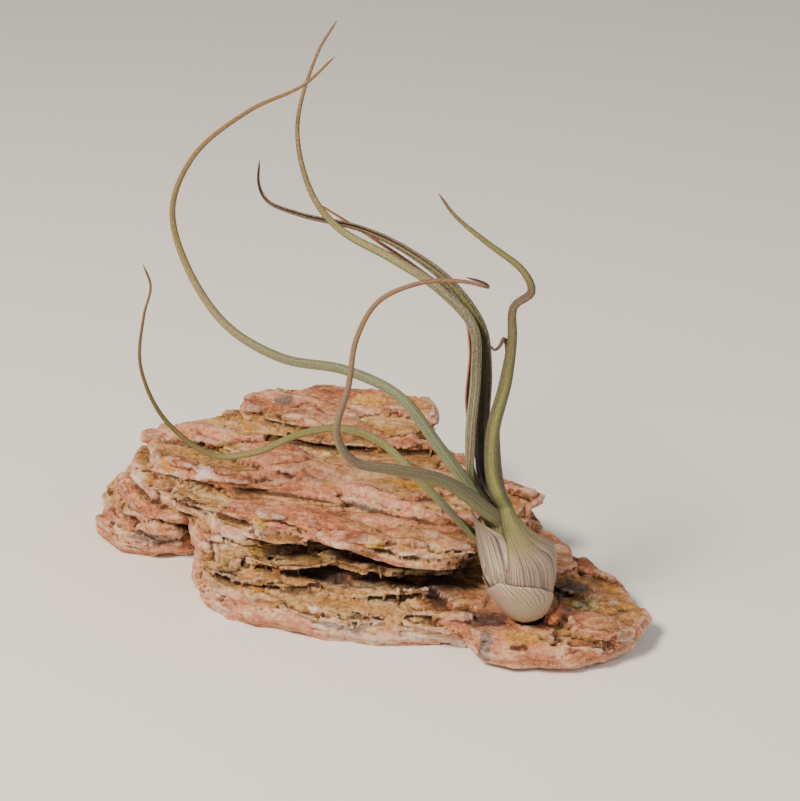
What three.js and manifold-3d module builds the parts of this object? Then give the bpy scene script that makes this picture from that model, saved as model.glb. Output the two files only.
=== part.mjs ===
// An air plant, a bulb-forming Tillandsia, seated in a hollow at the front of a layered stone.
// Millimetres, +Z up. The stone lies on z = 0. The plant is at its front, -Y, and to its right, +X.
import * as THREE from "three";
import { mergeVertices } from "three/addons/utils/BufferGeometryUtils.js";
import Module from "manifold-3d";

const wasm = await Module();
wasm.setup();

// ---------------------------------------------------------------- driving dimensions
const middle = [-15.08, -8.11]; // the middle of the whole model in plan, which is moved over the origin
const gap = 0.3; // clear space between neighbouring pieces
const bulbFoot = new THREE.Vector3(48.4, -48, 12.5); // lowest point of the bulb
const bulbNeck = new THREE.Vector3(36.6, -48, 63); // where the leaves come out of the bulb
const bulbProfile = [
  // height up the bulb's leaning axis, and the bulb's radius there
  [0, 4], [2, 6.6], [5, 8.7], [10, 10.9], [15, 12.7], [20, 14.4], [25, 15.5], [30, 15.5], [35, 14.7],
  [40, 13.2], [46, 10.8], [54, 7.6],
];
const sheathThickness = 0.8;
const layerPitch = sheathThickness + gap; // from one layer of sheaths to the next
const stemRadius = 3.2;
const stemHeight = 24;
const sheathFlare = 1.6; // how fast a sheath widens from the stem, in mm for each mm of height
const thinnestWall = 0.6;
const rolledWall = 0.45; // the wall of a rolled blade, as a share of its radius
const smallestBore = 0.14; // the hollow that is always left in a rolled blade, as a share of its radius
const widestRoll = 165; // half the widest angle that a rolled wall covers, in degrees
const arcPoints = 5; // points across the back of a leaf's section, and again across its inner face
const sheathParts = [0, 0.12, 0.4, 0.7, 1]; // sections of a leaf from its foot to its shoulder
const narrowingParts = [0.2, 0.4, 0.55, 0.7, 0.85, 1]; // and from there to its neck, as shares of the way
const bladeSteps = 3; // sections of a blade for each point of its route
const scrapSides = 6;
const stemProfile = [
  // the stem's radius, and the height up the bulb's axis
  [0, 0.4], [2.6, 0.5], [stemRadius, 2], [stemRadius, stemHeight - 6], [1.9, stemHeight - 1.5],
  [0, stemHeight],
];
const hollowClear = 0.45; // clear space between the bulb and the hollow in the stone
const hollowTop = 34; // the height up the bulb's axis that the hollow is cut to
const slabEdge = 11; // the length of the short edges that a slab's outline is split into
const slabJag = 2; // how far those edges jog in or out
const slabRings = [
  // how far up the slab each ring of its side is, how far it is set in, and how rough it is
  { up: 0, inset: 0, rough: 0 }, { up: 0.3, inset: 0.3, rough: 0.8 }, { up: 0.75, inset: 0, rough: 0.8 },
  { up: 1, inset: 2.2, rough: 0.6 },
];
const splinterSides = 5;
const splinterStep = 13; // the length of a splinter between two rings
const splinterEnd = 0.35; // the size of a splinter's ends, as a share of its middle
const splinterJag = 0.2; // how rough a splinter is, as a share of its size
const degree = Math.PI / 180;

// azimuth: where the middle of the sheath stands round the bulb, at its foot and at its neck, in degrees,
// with 0 at the front and + to the right. layer: 0 is outermost. foot, shoulder, neck: heights up the bulb's
// axis where the sheath grows from the stem, where it starts to narrow and where the blade leaves the bulb.
// wrap: half the angle that the sheath covers at foot and shoulder. roll: half the angle that the blade's
// wall covers where it leaves the bulb and at its tip. route: where the middle of the blade runs. blade: the
// rolled blade's width where it leaves the bulb and at each point of the route.
const leaves = {
  leaf_kinked: {
    azimuth: [42, 8], layer: 1, foot: 3.5, shoulder: 34, neck: 53,
    wrap: [80, 54], roll: [72, 150],
    blade: [5.6, 5.3, 5, 4.9, 4.5, 3.4, 2.8, 2.9, 2.4, 1.9, 1.3, 0.9],
    route: [
      [34, -54.8, 71], [32, -55, 79], [32, -55, 95], [36, -54.2, 114], [37.8, -54, 130],
      [38, -54, 142], [43.5, -57, 149], [40.5, -57, 156.5], [28, -52, 165], [18, -44, 171],
      [13, -38, 176],
    ],
  },
  leaf_arched: {
    azimuth: [-32, -30], layer: 2, foot: 5, shoulder: 28, neck: 46, flap: true,
    wrap: [66, 52], roll: [116, 150],
    blade: [6.6, 5.8, 5, 4.5, 3.4, 2.6, 2.1, 1.9, 1.7, 1.5, 1.3, 1.1, 1, 0.9],
    route: [
      [28, -57, 67], [14, -66, 82.6], [-3, -76, 92.6], [-15.5, -82, 99], [-20.8, -83.5, 110],
      [-16.8, -78, 125], [-14.2, -72, 139], [-7, -68, 150.6], [8, -69, 158], [21, -75, 160.8],
      [28, -80, 161.2], [26.4, -82, 163.6], [21, -81, 165],
    ],
  },
  leaf_tallest: {
    azimuth: [150, 228], layer: 2, foot: 5, shoulder: 28, neck: 48,
    wrap: [48, 40], roll: [84, 150],
    blade: [5, 5, 4.8, 4.5, 4.2, 3.8, 3.4, 2.7, 2.2, 1.6, 1.1, 0.8],
    route: [
      [27, -45, 70], [25.2, -46, 88], [26.6, -45.2, 112], [25.4, -42.6, 129], [14, -32, 138.4],
      [-2, -19, 144], [-21.4, -8, 151], [-31, -3, 162], [-36, 4, 184], [-29, 12, 208], [-22, 16, 219],
    ],
  },
  leaf_low: {
    azimuth: [-98, -106], layer: 3, foot: 6.5, shoulder: 12, neck: 32,
    wrap: [52, 44], roll: [100, 150],
    blade: [4.3, 4, 3.7, 3.4, 3.1, 2.9, 2.7, 2.5, 2.3, 1.8, 1.3, 1, 0.9, 0.8],
    route: [
      [24.4, -47.6, 51.6], [15, -51.4, 64.4], [4.2, -49, 75.8], [-7, -40, 82.8], [-22, -27, 81],
      [-37, -19, 74], [-54, -13, 63], [-69, -12, 61], [-85, -18, 78], [-92, -28, 106],
      [-88.5, -36, 130], [-84.8, -40, 143.5], [-86.5, -42, 152],
    ],
  },
  leaf_sweeping: {
    azimuth: [-120, -88], layer: 4, foot: 8, shoulder: 22, neck: 42,
    wrap: [58, 48], roll: [140, 150],
    blade: [5, 4.6, 4.3, 3.8, 3.6, 3.5, 3.1, 2.7, 2.2, 1.8, 1.5, 1.1, 0.8],
    route: [
      [25, -50.4, 69.6], [14, -50.4, 86], [0, -43.5, 102.5], [-19, -32, 107], [-43, -18, 105],
      [-64, -4, 112], [-78, 6, 131], [-82, 8, 152], [-73, 6, 173], [-52, 0, 192], [-33, -6, 203],
      [-22, -9, 214],
    ],
  },
  leaf_hooked: {
    azimuth: [170, 172], layer: 5, foot: 9.5, shoulder: 24, neck: 46,
    wrap: [92, 92], roll: [96, 150],
    blade: [5.4, 5.4, 5.2, 5, 4.4, 3.8, 3, 2.4, 1.9, 1.4, 1.1, 0.9],
    route: [
      [30.8, -43, 69], [29, -41.4, 86], [29.6, -41.6, 112], [27.6, -40.6, 128], [18, -34, 140.7],
      [3.3, -20, 147.2], [-13.6, -5, 149.6], [-37, 11, 148.8], [-48.6, 18, 151.2], [-51.4, 19, 157],
      [-51, 20, 166],
    ],
  },
  leaf_tendril: {
    azimuth: [62, 30], layer: 5, foot: 9.5, shoulder: 20, neck: 40,
    wrap: [30, 30], roll: [130, 150],
    blade: [3, 2.9, 2.6, 2.4, 2.1, 1.7, 1.4, 1.2, 1, 0.8],
    route: [
      [36.2, -50.8, 68], [34, -50, 84], [33.8, -49.8, 104], [36.6, -50, 118], [36.2, -51.5, 127],
      [34.9, -53.2, 129.8], [33.8, -53.8, 127.6], [32, -53, 125.6], [30.4, -52, 126.8],
    ],
  },
  leaf_thin: {
    azimuth: [180, 190], layer: 3.2, foot: 6.5, shoulder: 22, neck: 44,
    wrap: [36, 34], roll: [130, 150],
    blade: [2.5, 2.3, 2.1, 1.9, 1.7, 1.5, 1.3, 0.8],
    route: [
      [29, -39.4, 72], [24, -38, 96], [24.8, -35, 118], [21.6, -28, 130.7], [8.8, -15, 136.6],
      [-10, 4, 142.4], [-29.6, 26, 146.2],
    ],
  },
};

// The pointed shoulder of the arched leaf's sheath, a thin flap beside its blade: at each height up the
// bulb's axis, how far out it stands, and its left and right edges as azimuths.
const shoulderFlap = [
  { height: 24, out: 13.1, edges: [-82, -20] }, { height: 34, out: 12.9, edges: [-84, -12] },
  { height: 40, out: 12.3, edges: [-86, -4] }, { height: 45.6, out: 11.8, edges: [-88, 0] },
  { height: 48, out: 12, edges: [-88, -36] }, { height: 49.8, out: 12.1, edges: [-87, -62] },
  { height: 51.3, out: 12.1, edges: [-84, -76] },
];

// An old outer sheath with no blade: a cup round the bulb's foot. foot and top, the rim at its middle and at
// its edges, are heights up the bulb's axis. wrap is half the angle that it covers, tight is how far inside
// the bulb's outline it lies, and across and upParts say where its sections are.
const baseSheath = {
  azimuth: -25, foot: 1.5, top: [25, 6], wrap: 118, tight: 0.2,
  across: 14, upParts: [1, 0.75, 0.5, 0.25, 0],
};

// Two dry scraps at the bulb's foot: the middle of each section, half its width and half its thickness.
const dryScale = [
  { at: [36.4, -51, 26], wide: 1.6, thick: 0.4 }, { at: [32.6, -51.4, 28.6], wide: 2.2, thick: 0.4 },
  { at: [29.6, -51, 33.6], wide: 0.5, thick: 0.35 },
];
const rootStub = [
  { at: [59.2, -45, 22.4], wide: 0.9, thick: 0.9 }, { at: [59.6, -46.6, 21], wide: 1.6, thick: 1.6 },
  { at: [59.4, -48.6, 18.8], wide: 1.1, thick: 1.1 }, { at: [57.6, -51.2, 16.6], wide: 2.3, thick: 2.2 },
  { at: [55.4, -53.6, 15], wide: 2.6, thick: 2.4 }, { at: [53.8, -55, 14], wide: 1.2, thick: 1.1 },
];

// Broken layers of the stone: the plan outline, its lowest and highest level, how far its underside is
// set back, and how far its top slopes down to the front, in mm for each mm.
const slabs = {
  foot: {
    bottom: 0, top: 15, undercut: 3, slope: 0.02,
    outline: [
      [-79, -8], [-77, -23], [-68, -31], [-56, -37], [-38, -43], [-19, -48], [0, -50], [15, -50], [27, -51],
      [36, -30], [36, 10], [0, 20], [-60, 16],
    ],
  },
  recess: {
    bottom: 2, top: 34, undercut: 4, slope: 0,
    outline: [
      [-77, -6], [-69, -18], [-52, -19], [-27, -16], [0, -18], [18, -20], [32, -20], [40, -12], [40, 16],
      [-60, 40], [-86, 20],
    ],
  },
  ledge: {
    bottom: 29, top: 38, undercut: 2, slope: 0.03,
    outline: [
      [-90, 2], [-78, -6], [-63, -9], [-54, -20], [-40, -21], [-27, -27], [-14, -32], [0, -40], [15, -43],
      [25, -40], [31, -30], [38, -20], [36, 8], [0, 26], [-60, 30], [-88, 20],
    ],
  },
  tier: {
    bottom: 33, top: 46, undercut: 2, slope: 0.02,
    outline: [
      [-99, 24], [-96, 12], [-84, 4], [-60, 0], [-38, -6], [-18, -12], [0, -19], [14, -25], [27, -24],
      [31, -12], [28, 4], [16, 30], [-18, 48], [-62, 52], [-82, 46], [-97, 40],
    ],
  },
  crest: {
    bottom: 40, top: 53.5, undercut: 2, slope: 0.02,
    outline: [
      [-62, 38], [-63, 47], [-54, 55], [-41, 57], [-20, 56], [0, 57], [13, 54], [16, 34], [6, 18], [-22, 22],
      [-48, 28],
    ],
  },
  back: {
    bottom: 0, top: 35, undercut: 8, slope: 0.01,
    outline: [[16, 26], [12, 58], [-20, 65], [-60, 63], [-94, 56], [-104, 44], [-84, 20], [-40, 0], [18, -6]],
  },
  backRight: {
    bottom: 0, top: 17, undercut: 5, slope: 0.01,
    outline: [[8, 50], [12, 58], [34, 48], [48, 32], [55, 14], [60, 2], [46, -12], [10, 6]],
  },
  leftLobe: {
    bottom: 1.5, top: 14, undercut: 3, slope: 0.01,
    outline: [
      [-124, 44], [-122, 27], [-112, 14], [-98, 10], [-84, 12], [-72, 30], [-74, 58], [-98, 62], [-117, 56],
    ],
  },
  leftStep: {
    bottom: 9, top: 27, undercut: 2, slope: 0.03,
    outline: [[-111, 42], [-113, 24], [-104, 12], [-88, 6], [-74, 14], [-78, 52], [-100, 56]],
  },
  leftKnob: {
    bottom: 20, top: 37, undercut: 1, slope: 0.02,
    outline: [[-105, 40], [-107, 22], [-98, 10], [-86, 5], [-74, 12], [-78, 46], [-97, 48]],
  },
  rightLobe: {
    bottom: 0, top: 12, undercut: 4, slope: 0.01,
    outline: [
      [24, -52], [29, -62], [40, -66], [56, -66], [73, -64], [87, -56], [94, -44], [86, -28], [76, -14],
      [64, 0], [40, 8], [22, -20],
    ],
  },
  rightShoulder: {
    bottom: 7, top: 20, undercut: 1, slope: 0.02,
    outline: [[42, -24], [58, -30], [68, -26], [64, -12], [58, 0], [46, 10], [34, 14], [30, -20]],
  },
  rightKnob: {
    bottom: 17, top: 33, undercut: 3, slope: 0.02,
    outline: [[34, -20], [45, -12], [51, -2], [51, 9], [42, 22], [24, 18], [24, -16]],
  },
};

// Long splinters of stone along its grain: the two ends, half the width and half the thickness.
const splinters = [
  [[-88, -3, 37], [-18, -21, 36], 6, 3.4],
  [[-12, -22, 37], [28, -39, 36], 7, 3.6],
  [[-66, -12, 31], [-36, -24, 30], 6, 2.6],
  [[-40, -20, 33], [0, -33, 32], 5, 2.4],
  [[-58, -21, 22], [-22, -24, 22], 8, 2],
  [[-28, -21, 22], [22, -28, 21], 9, 2],
  [[-15, -18, 27], [1, -23, 26], 6, 3],
  [[-70, -26, 14], [-34, -38, 14], 5, 2.6],
  [[-44, -40, 12], [-8, -48, 11], 6, 3.4],
  [[-16, -40, 13], [27, -50, 10], 8, 3],
  [[-70, -24, 18], [-28, -30, 17], 7, 2.4],
  [[-30, -34, 16], [10, -36, 17], 6, 2],
  [[-84, 8, 44], [-36, -3, 43], 6, 2.6],
  [[-64, 10, 47], [0, -4, 46], 7, 2.4],
  [[-14, 4, 46], [26, -18, 44], 7, 2.8],
  [[-100, 29, 47], [-56, 24, 50], 7, 4],
  [[-80, 24, 45], [-38, 14, 47], 6, 2.6],
  [[-70, 36, 48], [14, 16, 49], 7, 2.6],
  [[-56, 46, 53.6], [-14, 38, 53.2], 7, 2.2],
  [[-22, 50, 54.2], [12, 46, 53.4], 6, 2],
  [[-34, 33, 53], [13, 24, 52.4], 6, 2.4],
  [[-104, 20, 32], [-84, 6, 36], 7, 4],
  [[-114, 30, 14], [-94, 10, 22], 7, 5],
  [[-110, 44, 20], [-84, 48, 33], 7, 4],
  [[32, -62, 7], [82, -57, 7], 5, 5],
  [[62, -50, 12], [90, -46, 9], 7, 3],
  [[54, -24, 16], [78, -30, 11], 7, 3],
  [[32, 2, 34], [56, 8, 30], 7, 3.6],
  [[40, -22, 22], [60, -20, 18], 6, 3],
  [[-92, 54, 34], [-30, 60, 36], 7, 4],
  [[-20, 57, 37], [12, 52, 35], 7, 4],
  [[-90, 58, 16], [-20, 63, 14], 8, 7],
  [[0, 58, 12], [48, 26, 9], 8, 6],
  [[-118, 30, 10], [-96, 12, 9], 4, 2.4],
  [[-112, 24, 22], [-92, 7, 20], 4, 2.4],
  [[-88, 4, 33], [-62, -9, 34], 5, 2.4],
  [[-74, -8, 25], [-44, -18, 26], 5, 2.2],
  [[-30, -29, 36], [-2, -37, 37], 4, 2],
  [[-98, 14, 41], [-66, 2, 40], 4, 2.2],
  [[-50, 0, 41], [-16, -11, 42], 4, 2.2],
  [[-10, -14, 41], [24, -23, 40], 4, 2.2],
  [[-54, 34, 52.6], [-22, 26, 52.4], 5, 2.2],
  [[40, -64, 5], [76, -62, 4], 4, 3],
  [[70, -16, 8], [90, -36, 7], 5, 3],
  [[56, -6, 14], [74, -14, 10], 5, 3],
  [[66, -33, 13], [86, -40, 11], 5, 2.4],
  [[-98, 51, 24], [-56, 60, 26], 5, 3],
  [[-60, 61, 8], [-8, 62, 7], 6, 3.4],
  [[-24, 62, 26], [14, 55, 25], 5, 3],
  [[28, 45, 16], [52, 22, 15], 5, 3],
  [[-122, 46, 8], [-98, 60, 9], 5, 3],
];

const colours = {
  stone: "#c99a84",
  green: "#6f7f5a",
  yellowGreen: "#83934c",
  olive: "#77704a",
  sheath: "#a9a095",
  brown: "#6b4a35",
};

// ---------------------------------------------------------------- solids
// The value at x on the straight lines through [x, value] pairs.
function along(pairs, x) {
  const next = pairs.findIndex(([at]) => x <= at);
  if (next === 0) return pairs[0][1];
  if (next < 0) return pairs[pairs.length - 1][1];
  const [x0, v0] = pairs[next - 1];
  const [x1, v1] = pairs[next];
  return THREE.MathUtils.lerp(v0, v1, (x - x0) / (x1 - x0));
}

function seededDraw(seed) {
  let state = seed;
  return (size = 1) => {
    state = (state * 1664525 + 1013904223) % 4294967296;
    return size * ((2 * state) / 4294967296 - 1);
  };
}

function toSolid(geometry) {
  const bare = new THREE.BufferGeometry();
  bare.setAttribute("position", geometry.getAttribute("position"));
  if (geometry.index) bare.setIndex(geometry.index);
  const merged = mergeVertices(bare, 1e-4);
  return new wasm.Manifold(
    new wasm.Mesh({
      numProp: 3,
      vertProperties: new Float32Array(merged.attributes.position.array),
      triVerts: new Uint32Array(merged.index.array),
    }),
  );
}

function toGeometry(solid) {
  const mesh = solid.getMesh();
  const geometry = new THREE.BufferGeometry();
  geometry.setAttribute("position", new THREE.BufferAttribute(mesh.vertProperties, 3));
  geometry.setIndex(new THREE.BufferAttribute(mesh.triVerts, 1));
  geometry.computeVertexNormals();
  return geometry;
}

// The largest body of a solid, without the scraps that a cut leaves.
function largest(solid) {
  return solid.decompose().reduce((a, b) => (b.volume() > a.volume() ? b : a));
}

// A closed solid skinned over rings with the same number of points. caps are triangles in one ring.
function skin(rings, caps) {
  const count = rings[0].length;
  const last = (rings.length - 1) * count;
  const index = [];
  for (let start = 0; start < last; start += count) {
    for (let k = 0; k < count; k++) {
      const a = start + k;
      const b = start + ((k + 1) % count);
      index.push(a, b, a + count, b, b + count, a + count);
    }
  }
  for (const [a, b, c] of caps) index.push(a, c, b, last + a, last + b, last + c);
  const geometry = new THREE.BufferGeometry();
  const places = rings.flat().flatMap((point) => point.toArray());
  geometry.setAttribute("position", new THREE.Float32BufferAttribute(places, 3));
  geometry.setIndex(index);
  return toSolid(geometry);
}

// ---------------------------------------------------------------- the bulb's axis
const bulbAxis = bulbNeck.clone().sub(bulbFoot).normalize();
const onAxis = (height) => bulbFoot.clone().addScaledVector(bulbAxis, height);

// The direction square to the bulb's axis at an azimuth round it.
function outwards(azimuth) {
  const away = new THREE.Vector3(Math.sin(azimuth * degree), -Math.cos(azimuth * degree), 0);
  return away.addScaledVector(bulbAxis, -away.dot(bulbAxis)).normalize();
}

// A sheath's outer radius: it flares from the stem until it meets its layer of the bulb.
function sheathRadius(height, layer, foot) {
  const flared = stemRadius + gap + sheathThickness + (height - foot) * sheathFlare;
  return Math.min(along(bulbProfile, height) - layer * layerPitch, flared);
}

// ---------------------------------------------------------------- leaves
// The sections of a leaf from the foot of its sheath to its tip. Up to the neck its back lies on its layer
// of the bulb, while it narrows from the sheath's wide arc to the rolled blade.
function leafSections(leaf) {
  const { lerp, smoothstep } = THREE.MathUtils;
  const sheath = [];
  for (const part of sheathParts) sheath.push(lerp(leaf.foot, leaf.shoulder, part));
  for (const part of narrowingParts) sheath.push(lerp(leaf.shoulder, leaf.neck, part));
  const sections = sheath.map((height) => {
    const narrowed = smoothstep(height, leaf.shoulder, leaf.neck);
    const spread = sheathRadius(height, leaf.layer, leaf.foot);
    const radius = lerp(Math.max(spread, leaf.blade[0] / 2), leaf.blade[0] / 2, narrowed);
    const back = outwards(lerp(leaf.azimuth[0], leaf.azimuth[1], narrowed));
    const wrap = lerp(leaf.wrap[0], leaf.wrap[1], height / leaf.shoulder);
    return {
      centre: onAxis(height).addScaledVector(back, Math.max(0, spread - radius)),
      back,
      radius,
      half: lerp(wrap, leaf.roll[0], narrowed ** 2) * degree,
      narrowed,
    };
  });
  const neck = sections.length - 1;
  const route = leaf.route.map((p) => new THREE.Vector3(...p));
  const through = [...sections.map(({ centre }) => centre), ...route];
  const curve = new THREE.CatmullRomCurve3(through, false, "centripetal");
  const last = neck + route.length;
  for (let step = 1; step <= route.length * bladeSteps; step++) {
    const passed = step / bladeSteps;
    const place = (neck + passed) / last;
    const out = passed / route.length;
    const k = Math.min(Math.floor(passed), route.length - 1);
    const radius = lerp(leaf.blade[k], leaf.blade[k + 1], passed - k) / 2;
    sections.push({ centre: curve.getPoint(place), radius, half: lerp(...leaf.roll, out) * degree, place });
  }
  sections.forEach((section, i) => {
    // A wide sheath's sections stay square to the bulb's axis, so that they don't cross each other.
    const tangent = curve.getTangent(section.place ?? i / last);
    tangent.lerp(bulbAxis, 1 - (section.narrowed ?? 1)).normalize();
    const back = (section.back ?? sections[i - 1].back).clone();
    section.back = back.addScaledVector(tangent, -back.dot(tangent)).normalize();
    section.side = new THREE.Vector3().crossVectors(tangent, section.back);
  });
  return sections;
}

// A ring of points round one section: a thick arc, open on its inner side. grow makes it fatter all round.
function sectionRing({ centre, back, side, radius, half }, grow) {
  const wall = Math.min(sheathThickness, Math.max(thinnestWall, radius * rolledWall)) + grow;
  const inner = Math.max(radius - wall, radius * smallestBore);
  const reach = Math.min(half + grow / radius, widestRoll * degree);
  const at = (r, angle) =>
    centre.clone().addScaledVector(back, r * Math.cos(angle)).addScaledVector(side, r * Math.sin(angle));
  const angles = Array.from({ length: arcPoints }, (_, k) => reach * (-1 + (2 * k) / (arcPoints - 1)));
  return [...angles.map((a) => at(radius + grow, a)), ...angles.reverse().map((a) => at(inner, a))];
}

// The triangles that close a ring made of two rows of points, one out and one back.
function stripCaps(rowPoints) {
  const caps = [];
  for (let k = 0; k < rowPoints - 1; k++) {
    const across = 2 * rowPoints - 1 - k;
    caps.push([k, k + 1, across], [k + 1, across - 1, across]);
  }
  return caps;
}

// The triangles that close a ring of points round one face.
const fanCaps = (points) => Array.from({ length: points - 2 }, (_, k) => [0, k + 1, k + 2]);

const leafSolid = (leaf, grow = 0) =>
  skin(leafSections(leaf).map((section) => sectionRing(section, grow)), stripCaps(arcPoints));

// The pointed flap of a sheath, in rings of three points across its outer face and three across its inner.
function flapSolid(grow = 0) {
  const rings = shoulderFlap.map(({ height, out, edges: [left, right] }, i) => {
    const wider = grow / (out * degree);
    const across = [left - wider, (left + right) / 2, right + wider];
    const level = onAxis(i === shoulderFlap.length - 1 ? height + grow : height);
    const at = (azimuth, r) => level.clone().addScaledVector(outwards(azimuth), r);
    const inner = across.toReversed().map((azimuth) => at(azimuth, out - sheathThickness - grow));
    return [...across.map((azimuth) => at(azimuth, out + grow)), ...inner];
  });
  return skin(rings, stripCaps(3));
}

// ---------------------------------------------------------------- the bulb's small pieces
// The old outer sheath, in rings that each run up its outer face and down its inner one, from edge to edge.
function baseSheathSolid(grow = 0) {
  const { azimuth, foot, top, wrap, tight, across, upParts } = baseSheath;
  const reach = wrap + grow / (along(bulbProfile, foot) * degree);
  const rings = [];
  for (let k = 0; k <= across; k++) {
    const fromMiddle = -1 + (2 * k) / across;
    const away = outwards(azimuth + fromMiddle * reach);
    const rim = THREE.MathUtils.lerp(top[0], top[1], fromMiddle ** 2) + grow;
    const at = (part, inset) => {
      const height = THREE.MathUtils.lerp(foot - grow, rim, part);
      return onAxis(height).addScaledVector(away, sheathRadius(height, 0, foot - grow) - tight - inset);
    };
    rings.push([
      ...upParts.map((part) => at(part, -grow)),
      ...upParts.toReversed().map((part) => at(part, thinnestWall + grow)),
    ]);
  }
  return skin(rings, stripCaps(upParts.length));
}

// A short body along the sections given, with a few flat sides.
function scrapSolid(sections, grow = 0) {
  const points = sections.map(({ at }) => new THREE.Vector3(...at));
  const rings = sections.map(({ wide, thick }, i) => {
    const [before, after] = [points[i - 1] ?? points[i], points[i + 1] ?? points[i]];
    const run = after.clone().sub(before).normalize();
    const side = new THREE.Vector3(0, 1, 0).cross(run).normalize();
    const across = run.clone().cross(side);
    return Array.from({ length: scrapSides }, (_, k) => {
      const angle = (2 * Math.PI * k) / scrapSides;
      return points[i].clone()
        .addScaledVector(across, (wide + grow) * Math.cos(angle))
        .addScaledVector(side, -(thick + grow) * Math.sin(angle));
    });
  });
  return skin(rings, fanCaps(scrapSides));
}

// A round body about the bulb's axis, from [radius, height] pairs.
function turned(profile) {
  const geometry = new THREE.LatheGeometry(profile.map(([r, h]) => new THREE.Vector2(r, h)), 24);
  const lean = new THREE.Quaternion().setFromUnitVectors(new THREE.Vector3(0, 1, 0), bulbAxis);
  geometry.applyQuaternion(lean).translate(...bulbFoot.toArray());
  geometry.deleteAttribute("normal").deleteAttribute("uv");
  return toSolid(geometry);
}

// The short woody stem inside the bulb, which the sheaths grow from.
function stemSolid(grow = 0) {
  const fatter = stemProfile.map(([radius, height]) => {
    const lower = height < stemRadius / 2;
    return [radius > 0 ? radius + grow : 0, lower ? height - grow : height + grow];
  });
  return turned(fatter);
}

// The hollow in the stone: the bulb's own outline with clear space round it.
function hollowSolid() {
  const outline = bulbProfile.filter(([height]) => height <= hollowTop);
  const profile = outline.map(([height, radius]) => [radius + hollowClear, height - hollowClear]);
  return turned([[0, -2 * hollowClear], ...profile, [0, hollowTop]]);
}

// ---------------------------------------------------------------- the stone
// A broken slab: its outline is split into short edges that jog in and out, in rings from its underside up.
function slabSolid({ outline, bottom, top, undercut, slope }, seed) {
  const draw = seededDraw(seed);
  const corners = outline.map(([x, y]) => new THREE.Vector2(x, y));
  if (THREE.ShapeUtils.isClockWise(corners)) corners.reverse();
  const rim = [];
  corners.forEach((from, i) => {
    const to = corners[(i + 1) % corners.length];
    const pieces = Math.max(1, Math.round(from.distanceTo(to) / slabEdge));
    const across = to.clone().sub(from).normalize().rotateAround(new THREE.Vector2(), Math.PI / 2);
    for (let k = 0; k < pieces; k++) {
      const point = from.clone().lerp(to, k / pieces);
      rim.push(point.addScaledVector(across, k ? draw(slabJag) : draw(slabJag / 3)));
    }
  });
  const centre = rim.reduce((sum, p) => sum.add(p), new THREE.Vector2()).divideScalar(rim.length);
  const front = Math.min(...rim.map((p) => p.y));
  const rings = slabRings.map(({ up, inset, rough }) =>
    rim.map((p) => {
      const inwards = centre.clone().sub(p).normalize().multiplyScalar((up ? inset : undercut) + draw(rough));
      const level = THREE.MathUtils.lerp(bottom, top, up);
      const sloped = up * slope * (p.y - front) + (up ? draw(rough) : 0);
      return new THREE.Vector3(p.x + inwards.x, p.y + inwards.y, level + sloped);
    }),
  );
  return skin(rings, THREE.ShapeUtils.triangulateShape(rim, []));
}

// A splinter: a long rough-edged body, thick in the middle and blunt at both ends.
function splinterSolid([from, to, wide, thick], seed) {
  const draw = seededDraw(seed);
  const start = new THREE.Vector3(...from);
  const run = new THREE.Vector3(...to).sub(start);
  const side = new THREE.Vector3(0, 0, 1).cross(run).normalize();
  const up = run.clone().cross(side).normalize();
  const lengths = Math.max(3, Math.round(run.length() / splinterStep));
  const rings = [];
  for (let i = 0; i <= lengths; i++) {
    const t = i / lengths;
    const swell = THREE.MathUtils.lerp(splinterEnd, 1, Math.sqrt(4 * t * (1 - t)));
    const ring = [];
    for (let k = 0; k < splinterSides; k++) {
      const angle = (2 * Math.PI * (k + splinterEnd)) / splinterSides;
      ring.push(
        start.clone()
          .addScaledVector(run, t + draw(splinterJag) / lengths)
          .addScaledVector(side, (swell + draw(splinterJag)) * wide * Math.cos(angle))
          .addScaledVector(up, (swell + draw(splinterJag)) * thick * Math.sin(angle)),
      );
    }
    rings.push(ring);
  }
  return skin(rings, fanCaps(splinterSides));
}

function stoneSolid() {
  const blocks = Object.values(slabs).map((slab, i) => slabSolid(slab, 11 + i));
  const chips = splinters.map((splinter, i) => splinterSolid(splinter, 101 + i));
  const whole = [...blocks, ...chips].reduce((sum, block) => sum.add(block));
  return largest(largest(whole).subtract(hollowSolid()).subtract(scrapSolid(rootStub, gap)));
}

// ---------------------------------------------------------------- the model
const plant = new THREE.Group();
plant.position.set(-middle[0], -middle[1], 0);

function addPiece(name, solid, colour, roughness) {
  const material = new THREE.MeshStandardMaterial({ color: colour, roughness, metalness: 0 });
  const mesh = new THREE.Mesh(toGeometry(solid), material);
  mesh.name = name;
  plant.add(mesh);
}

const leafColours = {
  leaf_kinked: colours.yellowGreen,
  leaf_thin: colours.olive,
  leaf_tendril: colours.brown,
};

addPiece("stone", stoneSolid(), colours.stone, 0.85);
addPiece("stem", stemSolid(), colours.olive, 0.8);
addPiece("base_sheath", baseSheathSolid(), colours.sheath, 0.7);

// Each leaf is cut clear of the stem, the base sheath and the leaves before it, so the front ones stay whole.
const taken = [stemSolid(gap), baseSheathSolid(gap)];
for (const [name, leaf] of Object.entries(leaves)) {
  const whole = (grow) => (leaf.flap ? leafSolid(leaf, grow).add(flapSolid(grow)) : leafSolid(leaf, grow));
  const solid = taken.reduce((left, other) => left.subtract(other), whole(0));
  addPiece(name, largest(solid), leafColours[name] ?? colours.green, 0.6);
  taken.push(whole(gap));
}

// The dry scraps lie outside all of these.
for (const [name, sections] of Object.entries({ dry_scale: dryScale, root_stub: rootStub })) {
  const solid = taken.reduce((left, other) => left.subtract(other), scrapSolid(sections));
  addPiece(name, largest(solid), colours.brown, 0.8);
}

export default plant;
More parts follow.
